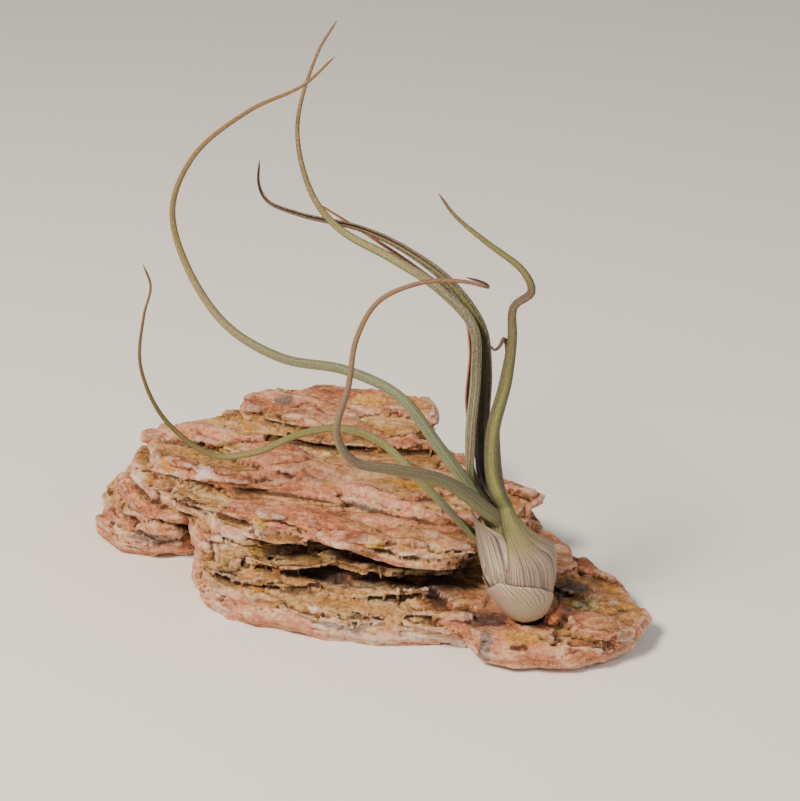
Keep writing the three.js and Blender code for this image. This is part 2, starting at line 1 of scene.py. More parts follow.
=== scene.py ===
# An air plant in a hollow at the front of a layered stone, dressed over its solid model.
# Metres, +Z up, front towards -Y. The dictionaries hold millimetres of the drawing that the
# solids were made from, and inFrame() turns a point of it to the frame's metres.
import math
import bpy
import numpy as np
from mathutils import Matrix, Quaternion, Vector, noise
from mathutils.bvhtree import BVHTree


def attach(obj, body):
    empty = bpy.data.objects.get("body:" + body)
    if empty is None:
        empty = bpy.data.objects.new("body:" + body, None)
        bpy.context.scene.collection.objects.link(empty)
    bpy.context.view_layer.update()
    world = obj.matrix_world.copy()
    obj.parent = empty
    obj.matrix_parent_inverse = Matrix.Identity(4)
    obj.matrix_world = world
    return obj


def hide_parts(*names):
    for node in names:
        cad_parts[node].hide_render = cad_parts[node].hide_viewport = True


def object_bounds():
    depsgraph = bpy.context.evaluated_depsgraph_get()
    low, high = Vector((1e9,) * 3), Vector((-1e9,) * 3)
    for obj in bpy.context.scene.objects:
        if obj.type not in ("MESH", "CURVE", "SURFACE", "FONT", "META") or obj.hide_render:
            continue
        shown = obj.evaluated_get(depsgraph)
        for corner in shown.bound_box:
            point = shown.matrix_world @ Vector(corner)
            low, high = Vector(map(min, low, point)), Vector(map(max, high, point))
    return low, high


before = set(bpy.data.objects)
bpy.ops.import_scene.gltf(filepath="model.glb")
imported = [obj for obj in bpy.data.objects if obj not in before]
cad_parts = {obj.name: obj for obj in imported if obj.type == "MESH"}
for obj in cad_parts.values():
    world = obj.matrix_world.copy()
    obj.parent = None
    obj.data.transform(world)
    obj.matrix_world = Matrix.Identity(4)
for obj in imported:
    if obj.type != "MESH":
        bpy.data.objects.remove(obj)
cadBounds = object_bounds()
mm = 0.001
middle = Vector((-15.08, -8.11, 0))  # the drawing's point that lies over the frame's origin
noise.seed_set(1)  # noise_vector() draws its offsets from the clock without it


def inFrame(point):
    return (Vector(point) - middle) * mm


def mix(a, b, part):
    return a + (b - a) * part


def smooth(value, low, high):
    part = min(max((value - low) / (high - low), 0), 1)
    return part * part * (3 - 2 * part)


def linear(hexColour):  # sRGB hex to the linear colour that nodes take
    parts = [int(hexColour[i:i + 2], 16) / 255 for i in (1, 3, 5)]
    return [c / 12.92 if c <= 0.04045 else ((c + 0.055) / 1.055) ** 2.4 for c in parts] + [1]


def addNode(material, kind, settings=None, values=None, links=None, stops=None):
    tree = material.node_tree
    node = tree.nodes.new(kind)
    for name, value in (settings or {}).items():
        setattr(node, name, value)
    for name, value in (values or {}).items():
        node.inputs[name].default_value = value
    for name, socket in (links or {}).items():
        tree.links.new(socket, node.inputs[name])
    if stops:  # of a colour ramp: [place, hex or grey]
        elements = node.color_ramp.elements
        while len(elements) < len(stops):
            elements.new(1)
        for element, (place, colour) in zip(elements, stops):
            element.position = place
            element.color = linear(colour) if isinstance(colour, str) else (colour, colour, colour, 1)
    return node


def newMaterial(name):
    material = bpy.data.materials.new(name)
    material.use_nodes = True
    material.node_tree.nodes.clear()
    return material


def coverWith(material, colour, height, strength, distance, roughness, ior, invert=False):
    # The end that the object's materials share: a colour and a height, as sockets, make a rough surface with
    # a slight bump.
    bump = addNode(
        material, "ShaderNodeBump", {"invert": invert}, {"Strength": strength, "Distance": distance},
        {"Height": height},
    )
    shader = addNode(
        material, "ShaderNodeBsdfPrincipled", values={"Roughness": roughness, "IOR": ior},
        links={"Base Color": colour, "Normal": bump.outputs[0]},
    )
    addNode(material, "ShaderNodeOutputMaterial", links={"Surface": shader.outputs[0]})
    return material


def selectOnly(piece):
    bpy.ops.object.select_all(action="DESELECT")
    piece.select_set(True)
    bpy.context.view_layer.objects.active = piece


def finishPiece(piece, node):
    piece.data.name = piece.name
    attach(piece, "root")
    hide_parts(node)
    print(piece.name, len(piece.data.polygons), "faces")


# The camera looks down on the front of the stone.
view = {"target": (0, 0, 78), "distance": 706, "elevation": 28, "fieldOfView": 24}


def placeCamera():
    tilt = math.radians(view["elevation"])
    back = Vector((0, -math.cos(tilt), math.sin(tilt))) * view["distance"] * mm
    bpy.ops.object.camera_add(
        location=inFrame(view["target"]) + back, rotation=(math.pi / 2 - tilt, 0, 0),
    )
    camera = bpy.context.object
    camera.data.sensor_fit = "HORIZONTAL"
    camera.data.angle = math.radians(view["fieldOfView"])
    bpy.context.scene.camera = camera


# Soft light from the upper left, so the shadows fall to the right.
studio = {
    "floorSize": 12, "floor": "#e6e3de", "world": "#f3f1ee", "worldStrength": 0.4,
    "lights": [
        {"at": (-0.6, -0.6, 1.1), "size": 0.4, "power": 31, "colour": "#fff0dc"},
        {"at": (0.9, -0.5, 0.7), "size": 1.2, "power": 4, "colour": "#f4f6ff"},
    ],
}


def dressStudio():
    bpy.ops.mesh.primitive_plane_add(size=studio["floorSize"], location=(0, 0, 0))
    floor = bpy.context.object
    floor.name = "floor"
    paper = newMaterial("paperBackdrop")  # plain matt paper
    shader = addNode(
        paper, "ShaderNodeBsdfPrincipled",
        values={"Base Color": linear(studio["floor"]), "Roughness": 0.9},
    )
    addNode(paper, "ShaderNodeOutputMaterial", links={"Surface": shader.outputs[0]})
    floor.data.materials.append(paper)
    world = bpy.data.worlds.new("studio")
    bpy.context.scene.world = world
    world.use_nodes = True
    backdrop = world.node_tree.nodes["Background"]
    backdrop.inputs["Color"].default_value = linear(studio["world"])
    backdrop.inputs["Strength"].default_value = studio["worldStrength"]
    for light in studio["lights"]:
        place = Vector(light["at"])
        aim = (Vector((0, 0, 0.05)) - place).to_track_quat("-Z", "Y")
        bpy.ops.object.light_add(type="AREA", location=place, rotation=aim.to_euler())
        lamp = bpy.context.object.data
        lamp.shape = "DISK"
        lamp.size = light["size"]
        lamp.energy = light["power"]
        lamp.color = linear(light["colour"])[:3]
    print("studio ready")


# The bulb's leaning axis and outline, which every sheath follows.
bulb = {
    "foot": (48.4, -48, 12.5), "neck": (36.6, -48, 63),
    "profile": [
        (0, 4), (2, 6.6), (5, 8.7), (10, 10.9), (15, 12.7), (20, 14.4), (25, 15.5), (30, 15.5), (35, 14.7),
        (40, 13.2), (46, 10.8), (54, 7.6),
    ],
    "wall": 0.8, "gap": 0.3, "stemRadius": 3.2, "flare": 1.6,
}
bulbFoot = Vector(bulb["foot"])
bulbAxis = (Vector(bulb["neck"]) - bulbFoot).normalized()


def onAxis(height):
    return bulbFoot + bulbAxis * height


def outwards(azimuth):  # square to the bulb's axis; 0 degrees is the front, + is to the right
    turn = math.radians(azimuth)
    away = Vector((math.sin(turn), -math.cos(turn), 0))
    return (away - bulbAxis * away.dot(bulbAxis)).normalized()


def outline(height):
    heights = [place for place, _ in bulb["profile"]]
    radii = [radius for _, radius in bulb["profile"]]
    near = [height + step for step in (-2, -1, 0, 1, 2)]
    return float(np.mean(np.interp(near, heights, radii)))  # averaged, so the outline has no corners


def sheathRadius(height, layer, foot):
    pitch = bulb["wall"] + bulb["gap"]
    flared = bulb["stemRadius"] + pitch + (height - foot) * bulb["flare"]
    return min(outline(height) - layer * pitch, flared)


def curvePoint(points, place):  # centripetal Catmull-Rom through the points, at a place such as 3.25
    k = min(int(place), len(points) - 2)
    p1, p2 = points[k], points[k + 1]
    p0 = points[k - 1] if k > 0 else 2 * p1 - p2
    p3 = points[k + 2] if k + 2 < len(points) else 2 * p2 - p1
    d0, d1, d2 = [math.sqrt((b - a).length) for a, b in ((p0, p1), (p1, p2), (p2, p3))]
    leave = (p1 - p0) * (d1 / d0) - (p2 - p0) * (d1 / (d0 + d1)) + (p2 - p1)
    arrive = (p2 - p1) - (p3 - p1) * (d1 / (d1 + d2)) + (p3 - p2) * (d1 / d2)
    t = place - k
    bend = 3 * (p2 - p1) - 2 * leave - arrive
    twist = 2 * (p1 - p2) + leave + arrive
    return p1 + leave * t + bend * t * t + twist * t ** 3


# Each leaf is a sheath that wraps the bulb and narrows to a long rolled blade. Angles are in degrees
# round the bulb, heights are up its axis, and route is where the middle of the blade runs. skin is the
# leaf's colours from its foot (0) past the neck (0.25) to its tip (1).
leaves = {
    "leafKinked": {
        "node": "leaf_kinked", "slot": "green_leaf",
        "azimuth": (42, 8), "layer": 0.7, "foot": 3.5, "shoulder": 27, "neck": 53,
        "wrap": (80, 59), "roll": (72, 150),
        "blade": [5.6, 5.3, 5, 4.9, 4.5, 3.4, 2.8, 2.9, 2.4, 1.9, 1.3, 0.9],
        "route": [
            (34, -54.8, 71), (32, -55, 79), (32, -55, 95), (36, -54.2, 114), (37.8, -54, 130),
            (38, -54, 142), (43.5, -57, 149), (40.5, -57, 156.5), (28, -52, 165), (18, -44, 171),
            (13, -38, 176),
        ],
        "skin": [
            (0, "#a08a76"), (0.15, "#9c8672"), (0.185, "#8c8052"), (0.22, "#86863c"), (0.32, "#8b9240"),
            (0.44, "#7e8239"), (0.58, "#6f7034"), (0.65, "#6e6136"), (0.69, "#74543e"), (0.735, "#6e5039"),
            (0.775, "#7c7436"), (0.85, "#6f7034"), (0.93, "#6f5424"), (1, "#553818"),
        ],
        "vein": "#54434a", "rim": ("#3c3a28", 0.85), "groove": 0.45, "scurf": 0.25,
    },
    "leafArched": {
        "node": "leaf_arched", "slot": "green_leaf",
        "azimuth": (-32, -30), "layer": 2, "foot": 5, "shoulder": 28, "neck": 46,
        "wrap": (66, 52), "roll": (116, 150),
        "blade": [6.6, 5.8, 5, 4.5, 3.4, 2.6, 2.1, 1.9, 1.7, 1.5, 1.3, 1.1, 1, 0.9],
        "route": [
            (28, -57, 67), (14, -66, 82.6), (-3, -76, 92.6), (-15.5, -82, 99), (-20.8, -83.5, 110),
            (-16.8, -78, 125), (-14.2, -72, 139), (-7, -68, 150.6), (8, -69, 158), (21, -75, 160.8),
            (28, -80, 161.2), (26.4, -82, 163.6), (21, -81, 165),
        ],
        "skin": [
            (0, "#b5a88f"), (0.1, "#b0a28b"), (0.16, "#9a8a78"), (0.2, "#857b5c"), (0.25, "#6f7540"),
            (0.33, "#6c7142"), (0.42, "#7a7a4a"), (0.5, "#80754c"), (0.58, "#80683f"), (0.7, "#83603e"),
            (0.84, "#80563a"), (1, "#66402c"),
        ],
        "vein": "#5f424c", "rim": ("#4c443c", 0.45), "groove": 0.45, "scurf": 0.2, "flap": True,
    },
    "leafTallest": {
        "node": "leaf_tallest", "slot": "green_leaf",
        "azimuth": (150, 228), "layer": 2, "foot": 5, "shoulder": 20, "neck": 48, "twist": 70,
        "wrap": (48, 40), "roll": (84, 150),
        "blade": [5, 5, 4.8, 4.5, 4.2, 3.8, 3.4, 2.7, 2.2, 1.6, 1.1, 0.8],
        "route": [
            (27, -45, 70), (25.2, -46, 88), (26.6, -45.2, 112), (25.4, -42.6, 129), (14, -32, 138.4),
            (-2, -19, 144), (-21.4, -8, 151), (-31, -3, 162), (-36, 4, 184), (-29, 12, 208),
            (-22, 16, 219),
        ],
        "skin": [
            (0, "#a3917e"), (0.19, "#8d8a58"), (0.25, "#959a48"), (0.3, "#9a9870"), (0.4, "#969272"),
            (0.55, "#7f7f52"), (0.72, "#7a7440"), (0.86, "#80653a"), (1, "#855a30"),
        ],
        "vein": "#453c38", "rim": ("#4a463c", 0.15), "groove": 0.75, "scurf": 0.4,
    },
    "leafLow": {
        "node": "leaf_low", "slot": "green_leaf",
        "azimuth": (-98, -106), "layer": 3, "foot": 6.5, "shoulder": 12, "neck": 32, "twist": 70,
        "wrap": (52, 44), "roll": (100, 150),
        "blade": [4.3, 4, 3.7, 3.4, 3.1, 2.9, 2.7, 2.5, 2.3, 1.8, 1.3, 1, 0.9, 0.8],
        "route": [
            (24.4, -47.6, 51.6), (15, -51.4, 64.4), (4.2, -49, 75.8), (-7, -40, 82.8), (-22, -27, 81),
            (-37, -19, 74), (-54, -13, 63), (-69, -12, 61), (-85, -18, 78), (-92, -28, 106),
            (-88.5, -36, 130), (-84.8, -40, 143.5), (-86.5, -42, 152),
        ],
        "skin": [
            (0, "#a3917e"), (0.18, "#8f8560"), (0.24, "#7d8440"), (0.3, "#7f8c48"), (0.35, "#7b7460"),
            (0.4, "#7d8048"), (0.5, "#80793e"), (0.62, "#7c7640"), (0.75, "#7a6c3c"), (0.88, "#805c30"),
            (1, "#8a6238"),
        ],
        "vein": "#454a35", "rim": ("#4c4a38", 0.15), "groove": 0.4, "scurf": 0.2,
    },
    "leafSweeping": {
        "node": "leaf_sweeping", "slot": "green_leaf",
        "azimuth": (-120, -88), "layer": 4, "foot": 8, "shoulder": 22, "neck": 42, "twist": 40,
        "wrap": (58, 48), "roll": (140, 150),
        "blade": [5, 4.6, 4.3, 3.8, 3.6, 3.5, 3.1, 2.7, 2.2, 1.8, 1.5, 1.1, 0.8],
        "route": [
            (25, -50.4, 69.6), (14, -50.4, 86), (0, -43.5, 102.5), (-19, -32, 107), (-43, -18, 105),
            (-64, -4, 112), (-78, 6, 131), (-82, 8, 152), (-73, 6, 173), (-52, 0, 192), (-33, -6, 203),
            (-22, -9, 214),
        ],
        "skin": [
            (0, "#a3917e"), (0.2, "#8a8664"), (0.27, "#7a8446"), (0.36, "#7d8764"), (0.5, "#7f8360"),
            (0.6, "#857c55"), (0.72, "#82703f"), (0.84, "#825f36"), (1, "#84592d"),
        ],
        "vein": "#414637", "rim": ("#4a4a3c", 0.2), "groove": 0.45, "scurf": 0.3,
    },
    "leafHooked": {
        "node": "leaf_hooked", "slot": "green_leaf",
        "azimuth": (170, 172), "layer": 5, "foot": 9.5, "shoulder": 24, "neck": 46,
        "wrap": (92, 92), "roll": (96, 150),
        "blade": [5.4, 5.4, 5.2, 5, 4.4, 3.8, 3, 2.4, 1.9, 1.4, 1.1, 0.9],
        "route": [
            (30.8, -43, 69), (29, -41.4, 86), (29.6, -41.6, 112), (27.6, -40.6, 128), (18, -34, 140.7),
            (3.3, -20, 147.2), (-13.6, -5, 149.6), (-37, 11, 148.8), (-48.6, 18, 151.2),
            (-51.4, 19, 157), (-51, 20, 166),
        ],
        "skin": [
            (0, "#8f7d70"), (0.2, "#807064"), (0.28, "#8a7478"), (0.36, "#84726c"), (0.46, "#7f7a50"),
            (0.58, "#787838"), (0.7, "#806a44"), (0.84, "#865f38"), (1, "#8a5a2e"),
        ],
        "vein": "#2e2830", "rim": ("#5a4a4e", 0.3), "groove": 0.4, "scurf": 0.3,
    },
    "leafTendril": {
        "node": "leaf_tendril", "slot": "olive_leaf",
        "azimuth": (62, 30), "layer": 5, "foot": 9.5, "shoulder": 20, "neck": 40,
        "wrap": (30, 30), "roll": (130, 150),
        "blade": [3, 2.9, 2.6, 2.4, 2.1, 1.7, 1.4, 1.2, 1, 0.8],
        "route": [
            (36.2, -50.8, 68), (34, -50, 84), (33.8, -49.8, 104), (36.6, -50, 118), (36.2, -51.5, 127),
            (34.9, -53.2, 129.8), (33.8, -53.8, 127.6), (32, -53, 125.6), (30.4, -52, 126.8),
        ],
        "skin": [
            (0, "#8f7d70"), (0.25, "#6d5f50"), (0.5, "#5f5040"), (0.75, "#5f4030"), (1, "#4f2e20"),
        ],
        "vein": "#3b2a26", "rim": ("#3c3030", 0.5), "groove": 0.4, "scurf": 0.3,
    },
    "leafThin": {
        "node": "leaf_thin", "slot": "olive_leaf",
        "azimuth": (180, 190), "layer": 3.2, "foot": 6.5, "shoulder": 22, "neck": 44,
        "wrap": (36, 34), "roll": (130, 150),
        "blade": [2.5, 2.3, 2.1, 1.9, 1.7, 1.5, 1.3, 0.8],
        "route": [
            (29, -39.4, 72), (24, -38, 96), (24.8, -35, 118), (21.6, -28, 130.7), (8.8, -15, 136.6),
            (-10, 4, 142.4), (-29.6, 26, 146.2),
        ],
        "skin": [
            (0, "#a3917e"), (0.22, "#96705a"), (0.4, "#a07c66"), (0.6, "#a8836c"), (0.8, "#ac7c58"),
            (1, "#a87a50"),
        ],
        "vein": "#7a4836", "rim": ("#6a483c", 0.4), "groove": 0.3, "scurf": 0.15,
    },
}
# How finely a leaf is made, and the ridges along it and the folds of its sheath, in mm. The last two sections
# shrink by tip, so it ends in a point.
leafBuild = {
    "across": 33, "sheathSteps": 26, "bladeStep": 1.8, "neckAt": 0.25, "twistEnd": 0.2, "rolledWall": 0.45,
    "ridges": 9, "ridgeDepth": 0.11, "folds": 9, "foldDepth": 0.3, "tip": (0.75, 0.35),
}


def leafSections(leaf):  # from the sheath's foot to the blade's tip
    def sheathAt(height):
        narrowed = smooth(height, leaf["shoulder"], leaf["neck"])
        spread = sheathRadius(height, leaf["layer"], leaf["foot"])
        radius = mix(max(spread, leaf["blade"][0] / 2), leaf["blade"][0] / 2, narrowed)
        back = outwards(mix(*leaf["azimuth"], narrowed))
        wrap = mix(*leaf["wrap"], height / leaf["shoulder"])
        return {
            "centre": onAxis(height) + back * max(0, spread - radius), "back": back, "radius": radius,
            "half": math.radians(mix(wrap, leaf["roll"][0], narrowed ** 2)), "narrowed": narrowed,
            "run": leafBuild["neckAt"] * (height - leaf["foot"]) / (leaf["neck"] - leaf["foot"]),
        }

    steps = leafBuild["sheathSteps"]
    sections = [sheathAt(mix(leaf["foot"], leaf["neck"], step / steps)) for step in range(steps + 1)]
    before = sheathAt(mix(leaf["shoulder"], leaf["neck"], 0.75))["centre"]
    knots = [before, sections[-1]["centre"]] + [Vector(point) for point in leaf["route"]]
    for k in range(1, len(knots) - 1):
        steps = max(4, round((knots[k + 1] - knots[k]).length / leafBuild["bladeStep"]))
        for step in range(1, steps + 1):
            place = k + step / steps
            out = (place - 1) / len(leaf["route"])
            lastOut = out - 1 / (steps * len(leaf["route"]))
            twistPart = smooth(out, 0, leafBuild["twistEnd"]) - smooth(lastOut, 0, leafBuild["twistEnd"])
            sections.append({
                "centre": curvePoint(knots, place), "back": None, "narrowed": 1,
                "radius": mix(leaf["blade"][k - 1], leaf["blade"][k], step / steps) / 2,
                "half": math.radians(mix(*leaf["roll"], out)),
                "turned": math.radians(leaf.get("twist", 0)) * twistPart,
                "run": mix(leafBuild["neckAt"], 1, out),
            })
    for i, section in enumerate(sections):
        ahead = sections[min(i + 1, len(sections) - 1)]["centre"]
        behind = sections[max(i - 1, 0)]["centre"]
        # A wide sheath's sections stay square to the bulb's axis.
        tangent = bulbAxis.lerp((ahead - behind).normalized(), section["narrowed"]).normalized()
        back = section["back"] or sections[i - 1]["back"]
        back = Quaternion(tangent, section.get("turned", 0)) @ back
        section["back"] = (back - tangent * back.dot(tangent)).normalized()
        section["side"] = tangent.cross(section["back"])
        section["wall"] = min(bulb["wall"], section["radius"] * leafBuild["rolledWall"])
    sections[-2]["radius"] *= leafBuild["tip"][0]
    sections[-1]["radius"] *= leafBuild["tip"][1]
    return sections


def shapeGrid(name, columns, rows, placeVertex, veinShare=1):
    # A grid whose vertices go where placeVertex(column part, row) says; it gives a point, a wall and a run.
    # veinShare is how much of a whole sheath's width the grid covers.
    bpy.ops.object.select_all(action="DESELECT")
    bpy.ops.mesh.primitive_grid_add(x_subdivisions=columns - 1, y_subdivisions=rows - 1, size=1)
    sheet = bpy.context.object
    sheet.name = name
    walls = sheet.vertex_groups.new(name="wall")
    runs = []
    for vertex in sheet.data.vertices:
        row, column = divmod(vertex.index, columns)
        point, wall, run = placeVertex(column / (columns - 1), row)
        vertex.co = inFrame(point)
        walls.add([vertex.index], min(wall / bulb["wall"], 1), "REPLACE")
        runs.append(run)
    uv = sheet.data.uv_layers.active.data
    for loop in sheet.data.loops:
        column = loop.vertex_index % columns
        uv[loop.index].uv = (0.5 + (column / (columns - 1) - 0.5) * veinShare, runs[loop.vertex_index])
    return sheet


def turnOutwards(sheet, inner):  # inner is a point that the middle of the sheet's outer face looks away from
    faces = sheet.data.polygons
    middleFace = faces[len(faces) // 2]
    if middleFace.normal.dot(middleFace.center - inFrame(inner)) < 0:
        selectOnly(sheet)
        bpy.ops.object.mode_set(mode="EDIT")
        bpy.ops.mesh.select_all(action="SELECT")
        bpy.ops.mesh.flip_normals()
        bpy.ops.object.mode_set(mode="OBJECT")


def thicken(sheet):
    selectOnly(sheet)
    bpy.ops.object.modifier_add(type="SOLIDIFY")
    wall = sheet.modifiers[-1]
    wall.thickness = bulb["wall"] * mm
    wall.offset = -1
    wall.vertex_group = "wall"
    bpy.ops.object.modifier_apply(modifier=wall.name)
    bpy.ops.object.shade_smooth()


# The pointed lobe of the arched leaf's sheath: height, how far out, and its left and right edge in degrees.
# Its right edge tucks in under the kinked leaf's sheath.
shoulderFlap = {
    "sections": [
        (12, 9.4, -86, -10), (18, 11.6, -84, -8), (24, 13.1, -82, -6), (34, 12.9, -84, -4),
        (40, 12.3, -86, -8), (45, 11.9, -88, -12), (47.6, 12, -88, -28), (50, 12.1, -87, -50),
        (51.6, 12.1, -84, -67), (52.4, 12, -82, -75),
    ],
    "tuck": 1.5, "tuckFrom": (0.66, 0.9), "tuckRise": (33, 38), "tuckFall": (42, 45.5), "ripple": 0.09,
    "wall": 0.45, "run": (0.02, 0.2), "across": 25, "rows": 41, "veinShare": 0.5,
}


def makeFlap(name):
    rows = shoulderFlap["rows"]
    heights = [section[0] for section in shoulderFlap["sections"]]

    def place(part, row):
        height = mix(heights[0], heights[-1], row / (rows - 1))
        out, left, right = [
            float(np.interp(height, heights, [section[k] for section in shoulderFlap["sections"]]))
            for k in (1, 2, 3)
        ]
        tucked = smooth(part, *shoulderFlap["tuckFrom"]) * smooth(height, *shoulderFlap["tuckRise"])
        tucked *= 1 - smooth(height, *shoulderFlap["tuckFall"])
        ripple = shoulderFlap["ripple"] * math.sin(part * 26 + height * 0.05)
        reach = out - tucked * shoulderFlap["tuck"] + ripple
        point = onAxis(height) + outwards(mix(left, right, part)) * reach
        return point, shoulderFlap["wall"], mix(*shoulderFlap["run"], row / (rows - 1))

    flap = shapeGrid(name, shoulderFlap["across"], rows, place, shoulderFlap["veinShare"])
    turnOutwards(flap, onAxis(32))
    return flap


def makeLeaf(name, leaf, seed):
    sections = leafSections(leaf)

    def place(part, row):
        section = sections[row]
        turn = section["half"] * (2 * part - 1)
        sheath = 1 - smooth(section["run"], 0.1, leafBuild["neckAt"])
        ridge = math.cos(part * leafBuild["ridges"] * 2 * math.pi) * leafBuild["ridgeDepth"]
        fold = noise.noise(Vector((part * leafBuild["folds"], section["run"] * 3, seed * 7.1)))
        depth = min(1, section["radius"] / 3) * (1 - 0.6 * sheath)
        radius = section["radius"] + depth * (ridge - leafBuild["ridgeDepth"])
        radius += sheath * (fold - 0.4) * leafBuild["foldDepth"]
        out = section["back"] * math.cos(turn) + section["side"] * math.sin(turn)
        return section["centre"] + out * radius, section["wall"], section["run"]

    piece = shapeGrid(name, leafBuild["across"], len(sections), place)
    centre = sections[len(sections) // 2]["centre"]
    turnOutwards(piece, centre)
    if leaf.get("flap"):
        flap = makeFlap(name + "Flap")
        selectOnly(piece)
        flap.select_set(True)
        bpy.ops.object.join()
    thicken(piece)
    piece.data.materials.append(leafSkin(name + "Skin", leaf))
    finishPiece(piece, leaf["node"])


def leafSkin(name, leaf):
    # Living leaf tissue under a coat of flat silvery scales: matt, with purple-brown veins 1.3 mm apart that
    # fan out over the bulb and run together along the grooved blade, and darker towards its rolled-in edges.
    skin = newMaterial(name)
    uv = addNode(skin, "ShaderNodeUVMap", {"uv_map": "UVMap"})
    place = addNode(skin, "ShaderNodeTexCoord")
    parts = addNode(skin, "ShaderNodeSeparateXYZ", links={0: uv.outputs[0]})
    body = addNode(skin, "ShaderNodeValToRGB", links={0: parts.outputs["Y"]}, stops=leaf["skin"])
    fibreRun = addNode(skin, "ShaderNodeMapping", values={"Scale": (46, 5, 1)}, links={0: uv.outputs[0]})
    fibres = addNode(
        skin, "ShaderNodeTexNoise", values={"Scale": 1, "Detail": 3, "Roughness": 0.6},
        links={0: fibreRun.outputs[0]},
    )
    fibreTone = addNode(
        skin, "ShaderNodeValToRGB", links={0: fibres.outputs[0]}, stops=[(0.36, 0.12), (0.62, 0.85)],
    )
    lined = addNode(
        skin, "ShaderNodeMix", {"data_type": "RGBA", "blend_type": "OVERLAY"}, {0: 0.6},
        {6: body.outputs[0], 7: fibreTone.outputs[0]},
    )
    offMiddle = addNode(skin, "ShaderNodeMath", {"operation": "SUBTRACT"}, {1: 0.5}, {0: parts.outputs["X"]})
    aside = addNode(skin, "ShaderNodeMath", {"operation": "ABSOLUTE"}, links={0: offMiddle.outputs[0]})
    rimColour, rimStrength = leaf["rim"]
    atRim = addNode(
        skin, "ShaderNodeValToRGB", links={0: aside.outputs[0]},
        stops=[(0.08, 0.0), (0.24, rimStrength * 0.7), (0.4, rimStrength)],
    )
    onBlade = addNode(
        skin, "ShaderNodeValToRGB", links={0: parts.outputs["Y"]}, stops=[(0.17, 0.0), (0.26, 1.0)],
    )
    rimPart = addNode(
        skin, "ShaderNodeMath", {"operation": "MULTIPLY"}, links={0: atRim.outputs[0], 1: onBlade.outputs[0]},
    )
    rimmed = addNode(
        skin, "ShaderNodeMix", {"data_type": "RGBA"}, {7: linear(rimColour)},
        {0: rimPart.outputs[0], 6: lined.outputs[2]},
    )
    veinRun = addNode(skin, "ShaderNodeMapping", values={"Scale": (1, 0.12, 1)}, links={0: uv.outputs[0]})
    veins = addNode(
        skin, "ShaderNodeTexWave", {"wave_type": "BANDS", "bands_direction": "X"},
        {"Scale": 8, "Distortion": 7, "Detail": 3, "Detail Scale": 1.2}, {0: veinRun.outputs[0]},
    )
    veinMask = addNode(
        skin, "ShaderNodeValToRGB", links={0: veins.outputs["Fac"]}, stops=[(0.55, 0.0), (0.92, 1.0)],
    )
    veinFade = addNode(
        skin, "ShaderNodeValToRGB", links={0: parts.outputs["Y"]},
        stops=[(0.02, 0.7), (0.16, 1.0), (0.24, 0.9), (0.4, 0.55), (1, 0.3)],
    )
    gapRun = addNode(skin, "ShaderNodeMapping", values={"Scale": (16, 7, 1)}, links={0: uv.outputs[0]})
    gaps = addNode(
        skin, "ShaderNodeTexNoise", values={"Scale": 1, "Detail": 2}, links={0: gapRun.outputs[0]},
    )
    whole = addNode(
        skin, "ShaderNodeValToRGB", links={0: gaps.outputs[0]}, stops=[(0.38, 0.2), (0.58, 1.0)],
    )
    broken = addNode(
        skin, "ShaderNodeMath", {"operation": "MULTIPLY"},
        links={0: veinMask.outputs[0], 1: whole.outputs[0]},
    )
    veinPart = addNode(
        skin, "ShaderNodeMath", {"operation": "MULTIPLY", "use_clamp": True},
        links={0: broken.outputs[0], 1: veinFade.outputs[0]},
    )
    grooveRun = addNode(skin, "ShaderNodeMapping", values={"Scale": (15, 3, 1)}, links={0: uv.outputs[0]})
    grooves = addNode(
        skin, "ShaderNodeTexNoise", values={"Scale": 1, "Detail": 1}, links={0: grooveRun.outputs[0]},
    )
    grooveMask = addNode(
        skin, "ShaderNodeValToRGB", links={0: grooves.outputs[0]}, stops=[(0.5, 0.0), (0.6, leaf["groove"])],
    )
    onBladeGroove = addNode(
        skin, "ShaderNodeMath", {"operation": "MULTIPLY"},
        links={0: grooveMask.outputs[0], 1: onBlade.outputs[0]},
    )
    linePart = addNode(
        skin, "ShaderNodeMath", {"operation": "MAXIMUM"},
        links={0: veinPart.outputs[0], 1: onBladeGroove.outputs[0]},
    )
    veined = addNode(
        skin, "ShaderNodeMix", {"data_type": "RGBA"}, {7: linear(leaf["vein"])},
        {0: linePart.outputs[0], 6: rimmed.outputs[2]},
    )
    # A thin dark line along each leaf's edge: partly its own brown margin, partly painted shade where the
    # edge lies over the leaf beneath.
    margin = addNode(
        skin, "ShaderNodeValToRGB", links={0: aside.outputs[0]}, stops=[(0.478, 0.0), (0.492, 0.85)],
    )
    edged = addNode(
        skin, "ShaderNodeMix", {"data_type": "RGBA"}, {7: linear(leaf["vein"])},
        {0: margin.outputs[0], 6: veined.outputs[2]},
    )
    scales = addNode(
        skin, "ShaderNodeTexNoise", values={"Scale": 1900, "Detail": 3}, links={0: place.outputs["Object"]},
    )
    scaleMask = addNode(
        skin, "ShaderNodeValToRGB", links={0: scales.outputs[0]}, stops=[(0.48, 0.0), (0.66, leaf["scurf"])],
    )
    scurfed = addNode(
        skin, "ShaderNodeMix", {"data_type": "RGBA"}, {7: linear("#b8ad90")},
        {0: scaleMask.outputs[0], 6: edged.outputs[2]},
    )
    height = addNode(
        skin, "ShaderNodeMath", {"operation": "ADD"}, links={0: veinMask.outputs[0], 1: scales.outputs[0]},
    )
    return coverWith(skin, scurfed.outputs[2], height.outputs[0], 0.5, 0.15 * mm, 0.6, 1.42, invert=True)


